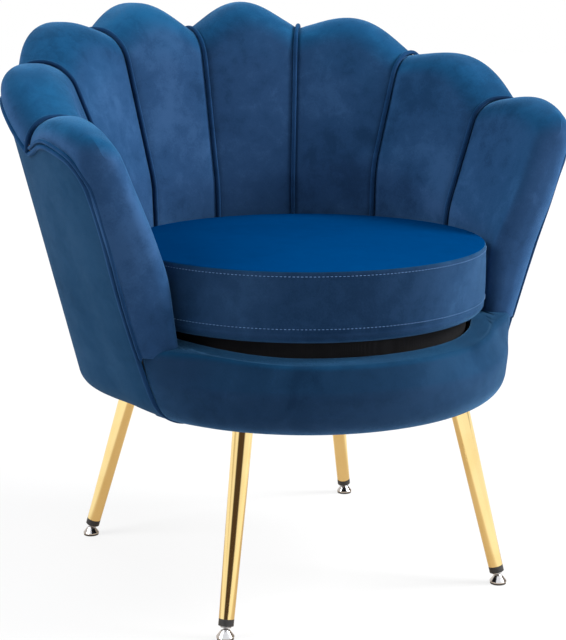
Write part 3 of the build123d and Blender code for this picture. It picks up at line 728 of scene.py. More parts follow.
def foam(name):
    """Open-cell foam."""
    material, tree, shader = new_material(name)
    cells = tree.nodes.new("ShaderNodeTexVoronoi")
    cells.inputs["Scale"].default_value = 600.0
    tone = add_noise(tree, 12.0, detail=3.0)
    colour = add_mix(tree, tone, (0.80, 0.74, 0.56, 1), (0.72, 0.64, 0.44, 1))
    tree.links.new(colour, shader.inputs["Base Color"])
    tree.links.new(add_range(tree, tone, 0.3, 0.7, 0.85, 0.98), shader.inputs["Roughness"])
    add_bump(tree, shader, cells.outputs["Distance"], strength=0.5, distance=0.0008)
    return material


VELVET = velvet(
    "velvet_channels",
    base=(0.020, 0.068, 0.170, 1),
    brushed=(0.036, 0.102, 0.236, 1),
    shaded=(0.011, 0.043, 0.113, 1),
)
# The copies below are the same velvet made darker as painted shade: on the outside cover, with less
# sheen; on the cushion top, with no sheen or gloss; on the cushion's boxed side; on the front rail; and
# on the corded welts.
VELVET_OUTSIDE_SHADED = velvet(
    "velvet_outside_shaded",
    base=(0.004, 0.038, 0.096, 1),
    brushed=(0.007, 0.048, 0.116, 1),
    shaded=(0.003, 0.028, 0.073, 1),
    sheen=0.12,
)
VELVET_TOP_SHADED = velvet(
    "velvet_cushion_top_shaded",
    base=(0.0, 0.047, 0.168, 1),
    brushed=(0.0, 0.056, 0.190, 1),
    shaded=(0.0, 0.039, 0.143, 1),
    patch=3.0,
    amount=0.5,
    sheen=0.0,
    gloss=0.0,
)
VELVET_BOXING_SHADED = velvet(
    "velvet_boxing_shaded",
    base=(0.012, 0.046, 0.116, 1),
    brushed=(0.020, 0.067, 0.156, 1),
    shaded=(0.006, 0.030, 0.081, 1),
    sheen=0.35,
)
VELVET_RAIL_SHADED = velvet(
    "velvet_rail_shaded",
    base=(0.008, 0.037, 0.094, 1),
    brushed=(0.013, 0.051, 0.124, 1),
    shaded=(0.004, 0.025, 0.067, 1),
    sheen=0.45,
)
VELVET_WELT_SHADED = velvet(
    "velvet_welt_shaded",
    base=(0.008, 0.044, 0.125, 1),
    brushed=(0.014, 0.062, 0.165, 1),
    shaded=(0.005, 0.028, 0.082, 1),
    sheen=0.25,
)
THREAD = cloth("sewing_thread", (0.07, 0.16, 0.33, 1), (0.16, 0.27, 0.46, 1), scale=900.0)
BLACK_CLOTH = cloth("black_deck_cloth", (0.004, 0.004, 0.005, 1), (0.014, 0.014, 0.016, 1), scale=420.0)
WEBBING = cloth("elastic_webbing", (0.02, 0.02, 0.022, 1), (0.08, 0.08, 0.085, 1), scale=300.0, bump=0.6)
ZIP_TAPE = cloth("zip_tape", (0.008, 0.02, 0.065, 1), (0.02, 0.045, 0.12, 1), scale=520.0)
GOLD = metal("polished_gold", (1.0, 0.77, 0.36, 1), (0.96, 0.72, 0.31, 1), 0.04, 0.09, smudge=14.0)
CHROME = metal("polished_chrome", (0.76, 0.76, 0.78, 1), (0.66, 0.66, 0.68, 1), 0.05, 0.14)
ZINC = metal("zinc_plated_steel", (0.56, 0.56, 0.57, 1), (0.44, 0.44, 0.46, 1), 0.28, 0.45)
NICKEL = metal("dark_nickel", (0.20, 0.20, 0.22, 1), (0.12, 0.12, 0.13, 1), 0.25, 0.4)
PLUG_PLASTIC = plastic("leg_plug_plastic", (0.02, 0.02, 0.022, 1), (0.035, 0.034, 0.034, 1), 0.35, 0.55)
SOLE_PLASTIC = plastic("sole_plastic", (0.03, 0.026, 0.022, 1), (0.055, 0.048, 0.04, 1), 0.5, 0.75)
PLY = plywood("birch_plywood")
FOAM = foam("cushion_foam")

CAD_FINISHES = {
    "black_cloth": BLACK_CLOTH,
    "webbing": WEBBING,
    "plywood": PLY,
    "gold": GOLD,
    "zinc_steel": ZINC,
    "chrome": CHROME,
    "black_plastic": PLUG_PLASTIC,
    "sole_plastic": SOLE_PLASTIC,
    "zip_tape": ZIP_TAPE,
    "zip_metal": NICKEL,
    "foam": FOAM,
    "velvet": VELVET,
}


def finish_solids():
    """Gives every solid the finish of its slot."""
    for part in frame["record"]["subparts"]:
        solid = frame["nodes"][part["node"]]
        solid.data.materials.clear()
        solid.data.materials.append(CAD_FINISHES[part["material_slot"]])


# Channels of the back, arms and welts


def face_corners(station, crown=0.0, foot=PETAL_FOOT):
    """Foot, knee and top corner of the inside face."""
    top = crest(station)
    knee = (along(KNEE_RADIUS, station), along(KNEE_HEIGHT, station))
    top_radius = knee[0] + along(FACE_LEAN, station) * (top - knee[1])
    return [
        (reach(station, along(FOOT_RADIUS, station)), foot),
        (reach(station, knee[0] - crown * KNEE_CROWN), knee[1]),
        (reach(station, top_radius - crown), top),
    ]


def show_line(station, crown, foot=PETAL_FOOT):
    """Visible line of a section: up the face, over the roll and down to the lip."""
    front = face_corners(station, crown, foot)
    lip_reach = reach(station, outer(station, lip(station)))
    corners = [*front, (lip_reach, crest(station)), (lip_reach, lip(station))]
    radii = (KNEE_ROUND, along(ROLL_ROUND, station), along(LIP_ROUND, station))
    return rounded(corners, radii, SHOW_STRAIGHTS, SHOW_ROUNDS)


def seam_distance(station, first, last):
    """Rough distance to the nearest seam of a channel, in metres."""
    near = [station - first]
    if last is not None:
        near.append(last - station)
    return CHANNEL_WIDTH * max(min(near), 0.0)


def pinched(line, station, first, last):
    """Draws a visible line in near a seam, fading out at its lip."""
    depth = SEAM_PINCH * math.exp(-((seam_distance(station, first, last) / PINCH_WIDTH) ** 2))
    fade = np.ones(len(line))
    fade[-PINCH_FADE:] = np.linspace(1.0, 0.0, PINCH_FADE)
    return line - normals_2d(line) * (depth * fade)[:, None]


def channel_stations(first, last):
    """Stations across a channel, closer together at its seams."""
    shares = (0.003, 0.016, 0.032, 0.055, 0.09, 0.14, 0.20, 0.27, 0.34, 0.42)
    whole = [*shares, 0.5, *[1 - share for share in reversed(shares)]]
    return [first + (last - first) * share for share in whole]


def petal_ring(station, first, last):
    """Closed outline of a channel's pad at a station."""
    line = show_line(station, PETAL_CROWN * puff(station))
    line = pinched(line, station, first, last)
    ply = COVER + SHELL_PLY + FIT
    inner_top = (reach(station, outer(station, lip(station)) - ply), lip(station))
    inner_foot = (reach(station, outer(station, PETAL_FOOT) - ply), PETAL_FOOT)
    back = rounded([inner_top, inner_foot, line[0]], (PAD_ROUND,), straights=(8, 3), arcs=(2,))
    return np.concatenate([line, back[:-1]])


def make_petals():
    """Six channels of the back; the fourth on each side is part of the arm."""
    for number in range(1, LAST_SEAM + 1):
        first, last = number - 1, number
        stations = channel_stations(first, last)
        for side, label in SIDES:
            rings = [stand(station, petal_ring(station, first, last), side) for station in stations]
            piece = face_outward(skin(f"channel_{number}_{label}", rings))
            subdivide(piece)
            dress(piece, "chair", VELVET, "velvet", f"petal_{number}_{label}")


def edge_station(height):
    """Front edge of the outside cover, which slants back towards the base."""
    return float(np.interp(height, EDGE_HEIGHTS, EDGE_STATIONS))


def cover_reach(station, height):
    """Outside of the cover, straight from the base to the lip."""
    foot = reach(station, outer(station, UNDERSIDE))
    top = reach(station, outer(station, lip(station)))
    return foot + (top - foot) * (height - UNDERSIDE) / (lip(station) - UNDERSIDE)


def cover_edge(station):
    """Upper edge of the outside cover: near the lip, with a round corner at the arm front."""
    past = min(max(station - CORNER_START, 0.0) * ARM_SPAN, CORNER_ROUND)
    drop = CORNER_ROUND - math.sqrt(CORNER_ROUND**2 - past**2)
    return lip(station) + EDGE_LIFT * between(station, LIFT_STATIONS) - drop


def nose_front(height):
    """Station of the arm's very front."""
    return ARM_END + NOSE_OUT * between(height, NOSE_OUT_HEIGHTS)


def nose_place(station, height):
    """Station of a section's point, moved out with the front of the arm."""
    return station + (nose_front(height) - ARM_END) * between(station, (NOSE_START, ARM_END))


def nose_share(place, height, depth):
    """How much of its width the arm keeps at a place in its round front of a given depth."""
    ahead = (nose_front(height) - place) * ARM_SPAN
    past = min(max(1 - ahead / depth, 0.0), 1.0)
    return math.sqrt(1 - past**2)


def outer_depth(height):
    """Depth of the round front on the outside, from the edge of the cover."""
    return (nose_front(height) - edge_station(height)) * ARM_SPAN


def arm_side(station, height, under):
    """Outside of the arm's pad: under the cover, and flush with it past the edge."""
    place = nose_place(station, height)
    ahead = (place - edge_station(height)) * ARM_SPAN
    above = height - cover_edge(place)
    bare = ease(max(ahead, above) / EDGE_BLEND + 0.5)
    return cover_reach(station, height) - under * (1 - bare)


def spread(line, count):
    """Points evenly along a line, with two more close to its lower end, which is its first."""
    steps = np.concatenate([[0.0], np.cumsum(np.linalg.norm(np.diff(line, axis=0), axis=1))])
    even = np.linspace(0.0, 1.0, count + 1 - len(FOOT_SHARES))[1:]
    shares = np.concatenate([FOOT_SHARES, even])
    return np.stack([np.interp(shares * steps[-1], steps, line[:, axis]) for axis in (0, 1)], axis=1)


def arm_ring(station, side):
    """Closed outline of the arm's pad: up its face, over the roll and down under the cover."""
    foot = PETAL_FOOT + (NOSE_FOOT - PETAL_FOOT) * between(station, NOSE_FOOT_STATIONS)
    line = show_line(station, PETAL_CROWN * puff(station), foot)
    line = pinched(line, station, LAST_SEAM, None)
    under = COVER + FIT + SHELL_PLY * (1 - between(station, SHELL_END))
    heights = np.linspace(lip(station), foot, FLANK_POINTS)[1:]
    flank = np.array([(arm_side(station, height, under), height) for height in heights])
    apex = int(np.argmax(line[:, 1]))
    outside = np.concatenate([line[apex:], flank])
    rising = spread(line[: apex + 1], ARM_POINTS)
    falling = spread(outside[::-1], ARM_POINTS)[::-1]
    middle_end = line[apex, 1] - NOSE_MIDDLE_DROP
    points = []
    for x, z in np.concatenate([rising, falling[1:]]):
        rise = max(z - middle_end + NOSE_EASE, 0.0)
        level = min(z, middle_end - NOSE_EASE) + NOSE_EASE * (1 - math.exp(-rise / NOSE_EASE))
        inside = float(np.interp(level, line[: apex + 1, 1], line[: apex + 1, 0]))
        middle = (inside + cover_reach(station, min(level, lip(station)))) / 2
        place = nose_place(station, z)
        inner_share = nose_share(place, z, NOSE_ROUND)
        share = inner_share if x < middle else nose_share(place, z, outer_depth(z))
        drawn = (middle + (x - middle) * share, level + (z - level) * inner_share)
        points.append(stand(place, [drawn], side)[0])
    return np.array(points)


def arm_stations():
    """Stations of the arm's pad, close together at its seam and round its front."""
    length = [3.003, 3.012, 3.025, 3.045, 3.08, 3.13, 3.2, 3.28, 3.36, 3.44, 3.52, 3.59, 3.65, 3.695]
    corner = [3.72, 3.745, 3.77, 3.795, 3.82, 3.845, 3.865]
    span = NOSE_ROUND / ARM_SPAN
    turns = (12, 24, 36, 47, 57, 66, 73, 79)
    nose = [ARM_END - span * (1 - math.sin(math.radians(angle))) for angle in turns]
    return [*length, *corner, *nose]


def soften(piece):
    """Smooths the cloth over the top of an arm's front."""
    group = piece.vertex_groups.new(name="soft")
    for vertex in piece.data.vertices:
        weight = between(vertex.co.z, SOFT_HEIGHTS) * between(SEAT_Y - vertex.co.y, SOFT_FRONTS)
        group.add([vertex.index], weight, "REPLACE")
    modifier = piece.modifiers.new("soft", "SMOOTH")
    modifier.factor = 0.5
    modifier.iterations = 6
    modifier.vertex_group = group.name


def make_arms():
    """Padded arms with their round fronts."""
    for side, label in SIDES:
        rings = [arm_ring(station, side) for station in arm_stations()]
        piece = face_outward(skin(f"arm_pad_{label}", rings, ladder=True))
        soften(piece)
        subdivide(piece)
        dress(piece, "chair", VELVET, "velvet", f"petal_4_{label}", f"arm_nose_{label}")


def make_welts():
    """Corded welts in the seams, from the deck over the roll to the rim."""
    for seam in range(LAST_SEAM + 1):
        line = show_line(seam, 0.0)
        line = line + normals_2d(line) * WELT_RISE
        for side, label in SIDES:
            if seam == 0 and side == -1:
                continue
            name = "middle" if seam == 0 else f"{seam}_{label}"
            piece = cord(f"seam_welt_{name}", stand(seam, line, side), WELT_RADIUS)
            subdivide(piece)
            dress(piece, "chair", VELVET_WELT_SHADED, "velvet", f"welt_{name}")


# Outside cover and its piping


def turn_under(station):
    """Radius of the round edge under the outside cover."""
    growth = between(station, ROUND_STATIONS)
    return COVER_ROUND_BACK + (COVER_ROUND_SIDE - COVER_ROUND_BACK) * growth


def hem_reach(station):
    """Where the outside cover ends under the base."""
    half = (math.pi / 2 - math.atan(OUTER_LEAN)) / 2
    return reach(station, outer(station, UNDERSIDE)) - turn_under(station) * math.tan(half) - HEM


def cover_line(station, inset, edge):
    """Line of the outside cover at a depth below its surface, from its upper edge to the hem."""
    foot = UNDERSIDE + inset
    top = (reach(station, outer(station, edge) - inset), edge)
    corner = (reach(station, outer(station, foot) - inset), foot)
    hem = (hem_reach(station), foot)
    return rounded([top, corner, hem], (turn_under(station) - inset,), straights=(18, 2), arcs=(9,))


def slanted(station, height):
    """Station of a point of the cover, moved to its slanting front edge."""
    share = between(station, (SLANT_START, EDGE_TOP))
    return station + (edge_station(height) - EDGE_TOP) * share


def cover_row(station, inset, side):
    """Points of the outside cover at a depth below its surface, from its upper edge to the hem."""
    edge = cover_edge(station) - FIT
    points = []
    for number, (_, height) in enumerate(cover_line(station, inset, edge)):
        place = slanted(station, height)
        points.append(stand(place, cover_line(place, inset, edge)[number : number + 1], side)[0])
    return np.array(points)


def cover_ring(station, side):
    """Closed outline of the outside cover."""
    return np.concatenate([cover_row(station, 0.0, side), cover_row(station, COVER, side)[::-1]])


def cover_stations():
    """Stations of the outside cover, from the middle of the back to the arm front."""
    stations = []
    for channel in range(LAST_SEAM):
        stations += [channel + step / 12 for step in range(12)]
    stations += [LAST_SEAM + (CORNER_START - LAST_SEAM) * step / 14 for step in range(14)]
    corner = [math.sin(math.radians(angle)) for angle in range(0, 91, 9)]
    return stations + [CORNER_START + (EDGE_TOP - CORNER_START) * share for share in corner]


def make_cover():
    """Outside cover, from one arm front round the back to the other."""
    right = cover_stations()
    rings = [cover_ring(station, -1) for station in reversed(right[1:])]
    rings += [cover_ring(station, 1) for station in right]
    piece = face_outward(skin("outside_velvet", rings, sharp=50))
    dress(piece, "chair", VELVET_OUTSIDE_SHADED, "velvet", "outside_cover")


def piping_path():
    """Edge of the outside cover: along the rim, round the corner, down the arm and under the base."""
    points = []
    for station in cover_stations():
        edge = cover_edge(station) - PIPING_INWARD
        place = slanted(station, edge)
        points.append(stand(place, [(cover_reach(place, edge) + PIPING_OUT, edge)])[0])
    corner = cover_edge(EDGE_TOP) - PIPING_INWARD
    front = cover_line(EDGE_TOP, PIPING_SINK, corner)
    for number, (_, height) in enumerate(front[1:], start=1):
        place = slanted(EDGE_TOP, height) - PIPING_INWARD / ARM_SPAN
        line = cover_line(place, PIPING_SINK, corner)
        points.append(stand(place, line[number : number + 1])[0])
    return np.array(points)


def nose_side(place, height):
    """Outside of the arm's round front."""
    knee = face_corners(min(place, ARM_END))[1]
    outside = cover_reach(place, height)
    middle = (knee[0] + outside) / 2
    return middle + (outside - middle) * nose_share(place, height, outer_depth(height))


def second_path():
    """Line of the second cord, beside the first one along the arm."""
    points = []
    for station in cover_stations():
        if station < SECOND_START:
            continue
        edge = cover_edge(station)
        left = (EDGE_TOP - station) / (EDGE_TOP - CORNER_START)
        height = edge + SECOND_GAP * ease(left + SECOND_EASE)
        ahead = SECOND_GAP * between(station, (CORNER_START, EDGE_TOP)) / ARM_SPAN
        place = slanted(station, edge) + ahead
        level = min(height, lip(station) + SECOND_OVER_LIP)
        points.append(stand(place, [(nose_side(place, level), height)])[0])
    top = cover_edge(EDGE_TOP)
    for step in range(1, SECOND_STEPS + 1):
        height = top + (SECOND_FOOT - top) * step / SECOND_STEPS
        place = slanted(EDGE_TOP, height) + SECOND_GAP / ARM_SPAN
        points.append(stand(place, [(nose_side(place, height), height)])[0])
    return np.array(points)


def make_piping():
    """Cords on the edge of the outside cover, with a thinner one beside them down the arm."""
    for side, label in SIDES:
        mirror = np.array([side, 1.0, 1.0])
        piece = cord(f"edge_piping_{label}", piping_path() * mirror, WELT_RADIUS)
        subdivide(piece)
        dress(piece, "chair", VELVET_WELT_SHADED, "velvet", f"arm_piping_{label}")
        second = cord(f"second_piping_{label}", second_path() * mirror, SECOND_RADIUS)
        subdivide(second)
        dress(second, "chair", VELVET_WELT_SHADED, "velvet")


# Base: front rail and deck


def rail_end(height):
    """How far ahead of the seat axis the rail meets the edge of the cover."""
    station = edge_station(height)
    return SEAT_Y - stand(station, [(cover_reach(station, height), height)])[0][1] - RAIL_TUCK


def rail_outline(share):
    """Section of the front rail, which follows the line of the cover towards its ends."""
    turn = between(abs(share), (RAIL_TURN_START, 1.0))
    rise = RAIL_RISE * between(abs(share), (RAIL_RISE_START, 1.0))
    corners = [(RAIL_INNER, RAIL_LOW)]
    for radius, height, lift in (
        (RAIL_RADIUS - RAIL_FLARE, RAIL_LOW, 0.0),
        (RAIL_RADIUS, RAIL_BELLY_HEIGHT, 0.0),
        (RAIL_EDGE, RAIL_TOP - RAIL_SLOPE, rise),
    ):
        end = math.hypot(cover_reach(edge_station(height), height) - RAIL_BEHIND, rail_end(height))
        corners.append((radius + (end - radius) * turn, height + lift))
    corners += [
        (RAIL_TONGUE, RAIL_TOP + rise),
        (RAIL_TONGUE, RAIL_TONGUE_FOOT),
        (RAIL_INNER, RAIL_TONGUE_FOOT),
    ]
    under = RAIL_UNDER_ROUND + (COVER_ROUND_SIDE - RAIL_UNDER_ROUND) * turn
    radii = (under, RAIL_BELLY_ROUND, RAIL_EDGE_ROUND, PAD_ROUND, PAD_ROUND)
    return rounded(corners, radii, straights=(3, 6, 4, 5, 2, 2), arcs=(8, 8, 6, 2, 2))


def make_rail():
    """Padded front of the base."""
    rings = []
    for step in range(RAIL_STEPS + 1):
        share = 2 * step / RAIL_STEPS - 1
        ring = []
        for radius, height in rail_outline(share):
            end = rail_end(height) if radius > RAIL_LEDGE else RAIL_LEDGE_END
            angle = share * math.acos(end / radius)
            ring.append((radius * math.sin(angle), SEAT_Y - radius * math.cos(angle), height))
        rings.append(np.array(ring))
    piece = face_outward(skin("front_rail_velvet", rings))
    subdivide(piece)
    dress(piece, "chair", VELVET_RAIL_SHADED, "velvet", "front_rail_pad")


def make_deck():
    """Black pad under the cushion."""
    low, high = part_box("deck_pad")
    radius = (high[0] - low[0]) / 2
    outline = rounded(
        [(DECK_MIDDLE, low[2]), (radius, low[2]), (radius, high[2]), (DECK_MIDDLE, high[2])],
        (DECK_FOOT_ROUND, DECK_TOP_ROUND),
        straights=(8, 3, 8),
        arcs=(3, 5),
    )
    piece = face_outward(lathe("deck_cloth", outline, 64))
    subdivide(piece)
    dress(piece, "chair", BLACK_CLOTH, "black_cloth", "deck_pad")


# Cushion


def cushion_outline():
    """Half section of the cushion before it is blown up, and the numbers of its seam points."""
    seam = CUSHION_RADIUS - CUSHION_DRAW
    under = [(radius, CUSHION_FOOT) for radius in FLAT_RINGS]
    middle = (seam + CUSHION_FLAT) / 2 + SAG_SHIFT
    for angle in (0, 25, 50, 75, 100, 125, 150, 170):
        turn = math.radians(angle)
        level = CUSHION_FOOT + (BOXING_FOOT - CUSHION_FOOT) * angle / 180
        under.append((middle - (seam - middle) * math.cos(turn), level - CUSHION_SAG * math.sin(turn)))
    low_seam = len(under)
    heights = [0.0, 0.03, 0.077, 0.16, 0.27, 0.38, 0.5, 0.62, 0.73, 0.84, 0.923, 0.97, 1.0]
    tall = BOXING_TOP - BOXING_FOOT
    side = [(seam + BOXING_BOW * math.sin(math.pi * t), BOXING_FOOT + tall * t) for t in heights]
    high_seam = low_seam + len(side) - 1
    top = []
    rise = CUSHION_CROWN - BOXING_TOP
    edge = (0.99, 0.975, 0.955, 0.93, 0.90, 0.86, 0.81, 0.75)
    inside = (0.68, 0.6, 0.51, 0.41, 0.3, 0.19, 0.09)
    for share in (*edge, *inside):
        top.append((seam * share, BOXING_TOP + CROWN_BEFORE * rise * (1 - share**2)))
    return under + side + top, low_seam, high_seam


def inflate(piece, pinned):
    """Blows a closed cloth up between its pinned points; returns each point's old place and its move."""
    count = len(piece.data.vertices)
    before = np.empty(count * 3)
    piece.data.vertices.foreach_get("co", before)
    group = piece.vertex_groups.new(name="pinned")
    group.add(pinned, 1.0, "REPLACE")
    modifier = piece.modifiers.new("cloth", "CLOTH")
    settings = modifier.settings
    settings.quality = 6
    settings.mass = 0.25
    settings.tension_stiffness = 18.0
    settings.compression_stiffness = 12.0
    settings.shear_stiffness = 6.0
    settings.bending_stiffness = 0.6
    settings.use_pressure = True
    settings.uniform_pressure_force = 4.0
    settings.vertex_group_mass = "pinned"
    settings.effector_weights.gravity = 0.0
    modifier.collision_settings.use_collision = False
    scene = bpy.context.scene
    for number in range(1, CLOTH_FRAMES + 1):
        scene.frame_set(number)
    shaped = piece.evaluated_get(bpy.context.evaluated_depsgraph_get())
    after = np.empty(count * 3)
    shaped.data.vertices.foreach_get("co", after)
    piece.modifiers.remove(modifier)
    scene.frame_set(1)
    return before.reshape(-1, 3), (after - before).reshape(-1, 3)


def blow_up(piece, ring, low_seam, high_seam):
    """Blows the cushion up, each panel only as far as its stuffing fills it."""
    starts = [step * ring for step in range(CUSHION_SEGMENTS)]
    seams = [start + number for start in starts for number in (low_seam, high_seam)]
    flat = [start + number for start in starts for number in range(len(FLAT_RINGS))]
    before, moved = inflate(piece, seams + flat)
    lengths = np.linalg.norm(moved, axis=1)
    numbers = np.arange(len(before)) % ring
    numbers[-2:] = (0, ring - 1)
    shaped = before.copy()
    panels = ((0, low_seam, 0.0), (low_seam, high_seam, BOXING_PUFF), (high_seam, ring, TOP_PUFF))
    for first, last, limit in panels:
        panel = (numbers >= first) & (numbers < last)
        furthest = max(float(lengths[panel].max()), 1e-6)
        shaped[panel] = before[panel] + moved[panel] * min(1.0, limit / furthest)
    piece.data.vertices.foreach_set("co", shaped.ravel())
    piece.data.update()


def tuck_seams(piece, ring, low_seam, high_seam):
    """Draws the two seams in and puckers the cloth a little beside them."""
    for vertex in piece.data.vertices[: CUSHION_SEGMENTS * ring]:
        step, number = divmod(vertex.index, ring)
        gap = min(abs(number - low_seam), abs(number - high_seam))
        if gap > STITCH_ROW:
            continue
        away = Vector((vertex.co.x, vertex.co.y - SEAT_Y, 0.0)).normalized()
        if gap == 0:
            vertex.co -= away * SEAM_TUCK
        else:
            wave = math.sin(step * PUCKER_TURNS[0]) * math.sin(step * PUCKER_TURNS[1] + 1.0)
            vertex.co += away * PUCKER * wave / gap


def add_stitch(points, faces, first, second):
    """Adds one thread, thin and sunk into the cloth at both ends."""
    centre = (first + second) / 2
    out = Vector((centre.x, centre.y - SEAT_Y, 0.0)).normalized()
    run = (second - first).normalized()
    up = run.cross(out)
    start = len(points)
    for share, radius, height in STITCH_RINGS:
        spot = centre + run * (share * STITCH_HALF) + out * height
        for turn in range(STITCH_SIDES):
            angle = 2 * math.pi * turn / STITCH_SIDES
            points.append(spot + (out * math.cos(angle) + up * math.sin(angle)) * radius)
    for band in range(len(STITCH_RINGS) - 1):
        here = start + band * STITCH_SIDES
        there = here + STITCH_SIDES
        for turn in range(STITCH_SIDES):
            after = (turn + 1) % STITCH_SIDES
            faces.append((here + turn, here + after, there + after, there + turn))
    faces.append(tuple(start + turn for turn in reversed(range(STITCH_SIDES))))
    faces.append(tuple(there + turn for turn in range(STITCH_SIDES)))


def add_stitches(points, faces, row):
    """Adds short threads along a closed row of points."""
    lengths = [0.0]
    loop = row + [row[0]]
    for first, second in zip(loop, loop[1:]):
        lengths.append(lengths[-1] + (second - first).length)
    count = int(lengths[-1] / STITCH_PITCH)
    axes = [[point[axis] for point in loop] for axis in range(3)]
    for number in range(count):
        middle = lengths[-1] * (number + 0.5) / count
        ends = (middle - STITCH_HALF, middle + STITCH_HALF)
        first, second = (Vector([float(np.interp(end, lengths, axis)) for axis in axes]) for end in ends)
        add_stitch(points, faces, first, second)


def make_topstitch(piece, ring, low_seam, high_seam):
    """Rows of stitches below the upper seam and above the lower one."""
    points = []
    faces = []
    for number in (low_seam + STITCH_ROW, high_seam - STITCH_ROW):
        row = [piece.data.vertices[step * ring + number].co.copy() for step in range(CUSHION_SEGMENTS)]
        add_stitches(points, faces, row)
    stitches = make_object("cushion_topstitch", points, faces)
    dress(stitches, "cushion", THREAD, "velvet")


def make_cushion():
    """Loose cushion: crowned top, boxed side and topstitched seams."""
    outline, low_seam, high_seam = cushion_outline()
    piece = face_outward(lathe("cushion_velvet", outline, CUSHION_SEGMENTS))
    ring = len(outline)
    blow_up(piece, ring, low_seam, high_seam)
    tuck_seams(piece, ring, low_seam, high_seam)
    # The boxed side and the top get darker copies of the velvet, painted shade.
    for material in (VELVET_BOXING_SHADED, VELVET_TOP_SHADED):
        piece.data.materials.append(material)
    for face in piece.data.polygons:
        heights = [piece.data.vertices[vertex].co.z for vertex in face.vertices]
        face.material_index = 1 if min(heights) >= BOXING_TOP - SEAM_SLACK else 0
    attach(piece, "cushion")
    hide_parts("cushion_core", "cushion_top", "cushion_boxing", "cushion_bottom")
    make_topstitch(piece, ring, low_seam, high_seam)
    subdivide(piece)


# Studio

CAMERA_PLACE = (-1.03977, SEAT_Y - 1.93261, 0.82980)
CAMERA_TURN = 27.5026  # degrees to the right of straight ahead
CAMERA_TILT = 12.0683  # degrees below level
CAMERA_LENS = 91.24
CAMERA_SENSOR = 36.0
FLOOR_HALF = 12.0
WHITE = (1.0, 1.0, 1.0, 1)


def make_camera():
    """Camera at the photograph's place."""
    data = bpy.data.cameras.new("camera")
    data.lens = CAMERA_LENS
    data.sensor_width = CAMERA_SENSOR
    camera = bpy.data.objects.new("camera", data)
    camera.location = CAMERA_PLACE
    camera.rotation_euler = (math.radians(90 - CAMERA_TILT), 0.0, math.radians(-CAMERA_TURN))
    bpy.context.scene.collection.objects.link(camera)
    bpy.context.scene.camera = camera


def add_light(name, place, target, size, power):
    """Soft white area lamp aimed at a point."""
    data = bpy.data.lights.new(name, "AREA")
    data.shape = "RECTANGLE"
    data.size, data.size_y = size
    data.energy = power
    lamp = bpy.data.objects.new(name, data)
    lamp.location = place
    way = Vector(target) - Vector(place)
    lamp.rotation_euler = way.to_track_quat("-Z", "Y").to_euler()
    bpy.context.scene.collection.objects.link(lamp)


def studio_patch(tree, azimuth, elevation, full, none):
    """Mask of a round patch of the studio that the metal mirrors, by angles in degrees.

    full and none are the angles from its middle up to which it is solid and at which it has faded out.
    """
    around = math.radians(azimuth)
    up = math.radians(elevation)
    way = (math.cos(around) * math.cos(up), math.sin(around) * math.cos(up), math.sin(up))
    place = tree.nodes.new("ShaderNodeTexCoord")
    along_way = tree.nodes.new("ShaderNodeVectorMath")
    along_way.operation = "DOT_PRODUCT"
    along_way.inputs[1].default_value = way
    tree.links.new(place.outputs["Generated"], along_way.inputs[0])
    near = math.cos(math.radians(full))
    far = math.cos(math.radians(none))
    return add_range(tree, along_way.outputs["Value"], far, near)


def make_world():
    """White to the camera, soft light for the cloth, and a studio with darker patches for the metal."""
    world = bpy.data.worlds.new("studio")
    bpy.context.scene.world = world
    world.use_nodes = True
    tree = world.node_tree
    tree.nodes.clear()
    result = tree.nodes.new("ShaderNodeOutputWorld")
    path = tree.nodes.new("ShaderNodeLightPath")
    soft = tree.nodes.new("ShaderNodeBackground")
    soft.inputs["Color"].default_value = (0.95, 0.97, 1.0, 1)
    soft.inputs["Strength"].default_value = 0.43
    white = tree.nodes.new("ShaderNodeBackground")
    white.inputs["Color"].default_value = WHITE
    white.inputs["Strength"].default_value = 1.0
    mirror = tree.nodes.new("ShaderNodeBackground")
    dark = studio_patch(tree, azimuth=-122.0, elevation=6.0, full=26.0, none=44.0)
    brown = studio_patch(tree, azimuth=4.0, elevation=8.0, full=22.0, none=46.0)
    tan = studio_patch(tree, azimuth=135.0, elevation=4.0, full=20.0, none=45.0)
    tone = add_mix(tree, add_math(tree, "MULTIPLY", tan, 0.6), WHITE, (0.45, 0.34, 0.22, 1))
    tone = add_mix(tree, add_math(tree, "MULTIPLY", brown, 0.9), tone, (0.20, 0.15, 0.11, 1))
    tone = add_mix(tree, dark, tone, (0.075, 0.052, 0.040, 1))
    tree.links.new(tone, mirror.inputs["Color"])
    first = tree.nodes.new("ShaderNodeMixShader")
    tree.links.new(path.outputs["Is Glossy Ray"], first.inputs["Fac"])
    tree.links.new(soft.outputs["Background"], first.inputs[1])
    tree.links.new(mirror.outputs["Background"], first.inputs[2])
    second = tree.nodes.new("ShaderNodeMixShader")
    tree.links.new(path.outputs["Is Camera Ray"], second.inputs["Fac"])
    tree.links.new(first.outputs["Shader"], second.inputs[1])
    tree.links.new(white.outputs["Background"], second.inputs[2])
    tree.links.new(second.outputs["Shader"], result.inputs["Surface"])


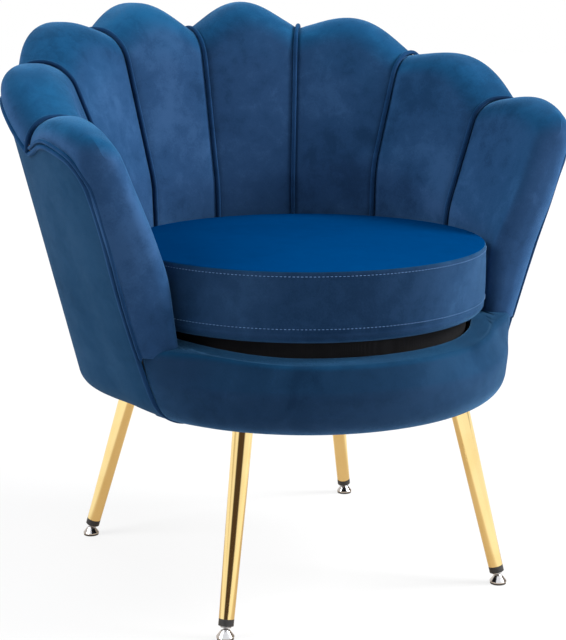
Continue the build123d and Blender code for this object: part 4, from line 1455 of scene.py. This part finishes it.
def make_floor():
    """Pale floor, near white to the camera, that keeps the shadow and shows the legs a painted warm
    reflection of the shaded floor under the chair.
    """
    corners = [(x * FLOOR_HALF, y * FLOOR_HALF, 0.0) for x, y in ((-1, -1), (1, -1), (1, 1), (-1, 1))]
    floor = make_object("floor", corners, [(0, 1, 2, 3)])
    material, tree, shader = new_material("pale_floor")
    shader.inputs["Base Color"].default_value = (0.82, 0.82, 0.82, 1)
    shader.inputs["Roughness"].default_value = 0.9
    shader.inputs["Specular IOR Level"].default_value = 0.0
    glow = tree.nodes.new("ShaderNodeEmission")
    glow.inputs["Strength"].default_value = 1.03
    path = tree.nodes.new("ShaderNodeLightPath")
    mix = tree.nodes.new("ShaderNodeMixShader")
    result = next(node for node in tree.nodes if node.type == "OUTPUT_MATERIAL")
    seen = add_math(tree, "MAXIMUM", path.outputs["Is Camera Ray"], path.outputs["Is Glossy Ray"])
    place = tree.nodes.new("ShaderNodeTexCoord")
    away = tree.nodes.new("ShaderNodeVectorMath")
    away.operation = "LENGTH"
    tree.links.new(place.outputs["Object"], away.inputs[0])
    white = add_range(tree, away.outputs["Value"], 0.6, 2.2, 0.78, 1.0)
    # Painted reflection: near the middle, glossy rays see the floor's glow tinted warm tan, standing in
    # for the shaded floor under the chair.
    under = add_range(tree, away.outputs["Value"], 0.52, 0.30)
    mirrored = add_math(tree, "MULTIPLY", under, path.outputs["Is Glossy Ray"])
    tone = add_mix(tree, mirrored, WHITE, (0.58, 0.44, 0.30, 1))
    tree.links.new(tone, glow.inputs["Color"])
    tree.links.new(add_math(tree, "MULTIPLY", seen, white), mix.inputs["Fac"])
    tree.links.new(shader.outputs["BSDF"], mix.inputs[1])
    tree.links.new(glow.outputs["Emission"], mix.inputs[2])
    tree.links.new(mix.outputs["Shader"], result.inputs["Surface"])
    floor.data.materials.append(material)


def make_studio():
    """Camera, floor, soft lamps and the world."""
    make_camera()
    make_floor()
    make_world()
    middle = (0.0, SEAT_Y, 0.5)
    add_light("key", (2.1, -1.2, 2.1), middle, size=(1.1, 1.1), power=102.0)
    add_light("fill", (-2.2, 0.2, 2.1), middle, size=(1.4, 1.4), power=52.0)
    add_light("front", (0.6, -2.6, 1.5), middle, size=(1.6, 1.2), power=22.0)
    add_light("rim", (0.3, 2.2, 2.0), middle, size=(1.8, 1.0), power=8.0)
    bpy.context.scene.view_settings.view_transform = "Standard"


finish_solids()
make_petals()
make_arms()
make_welts()
make_cover()
make_piping()
make_rail()
make_deck()
make_cushion()
make_studio()
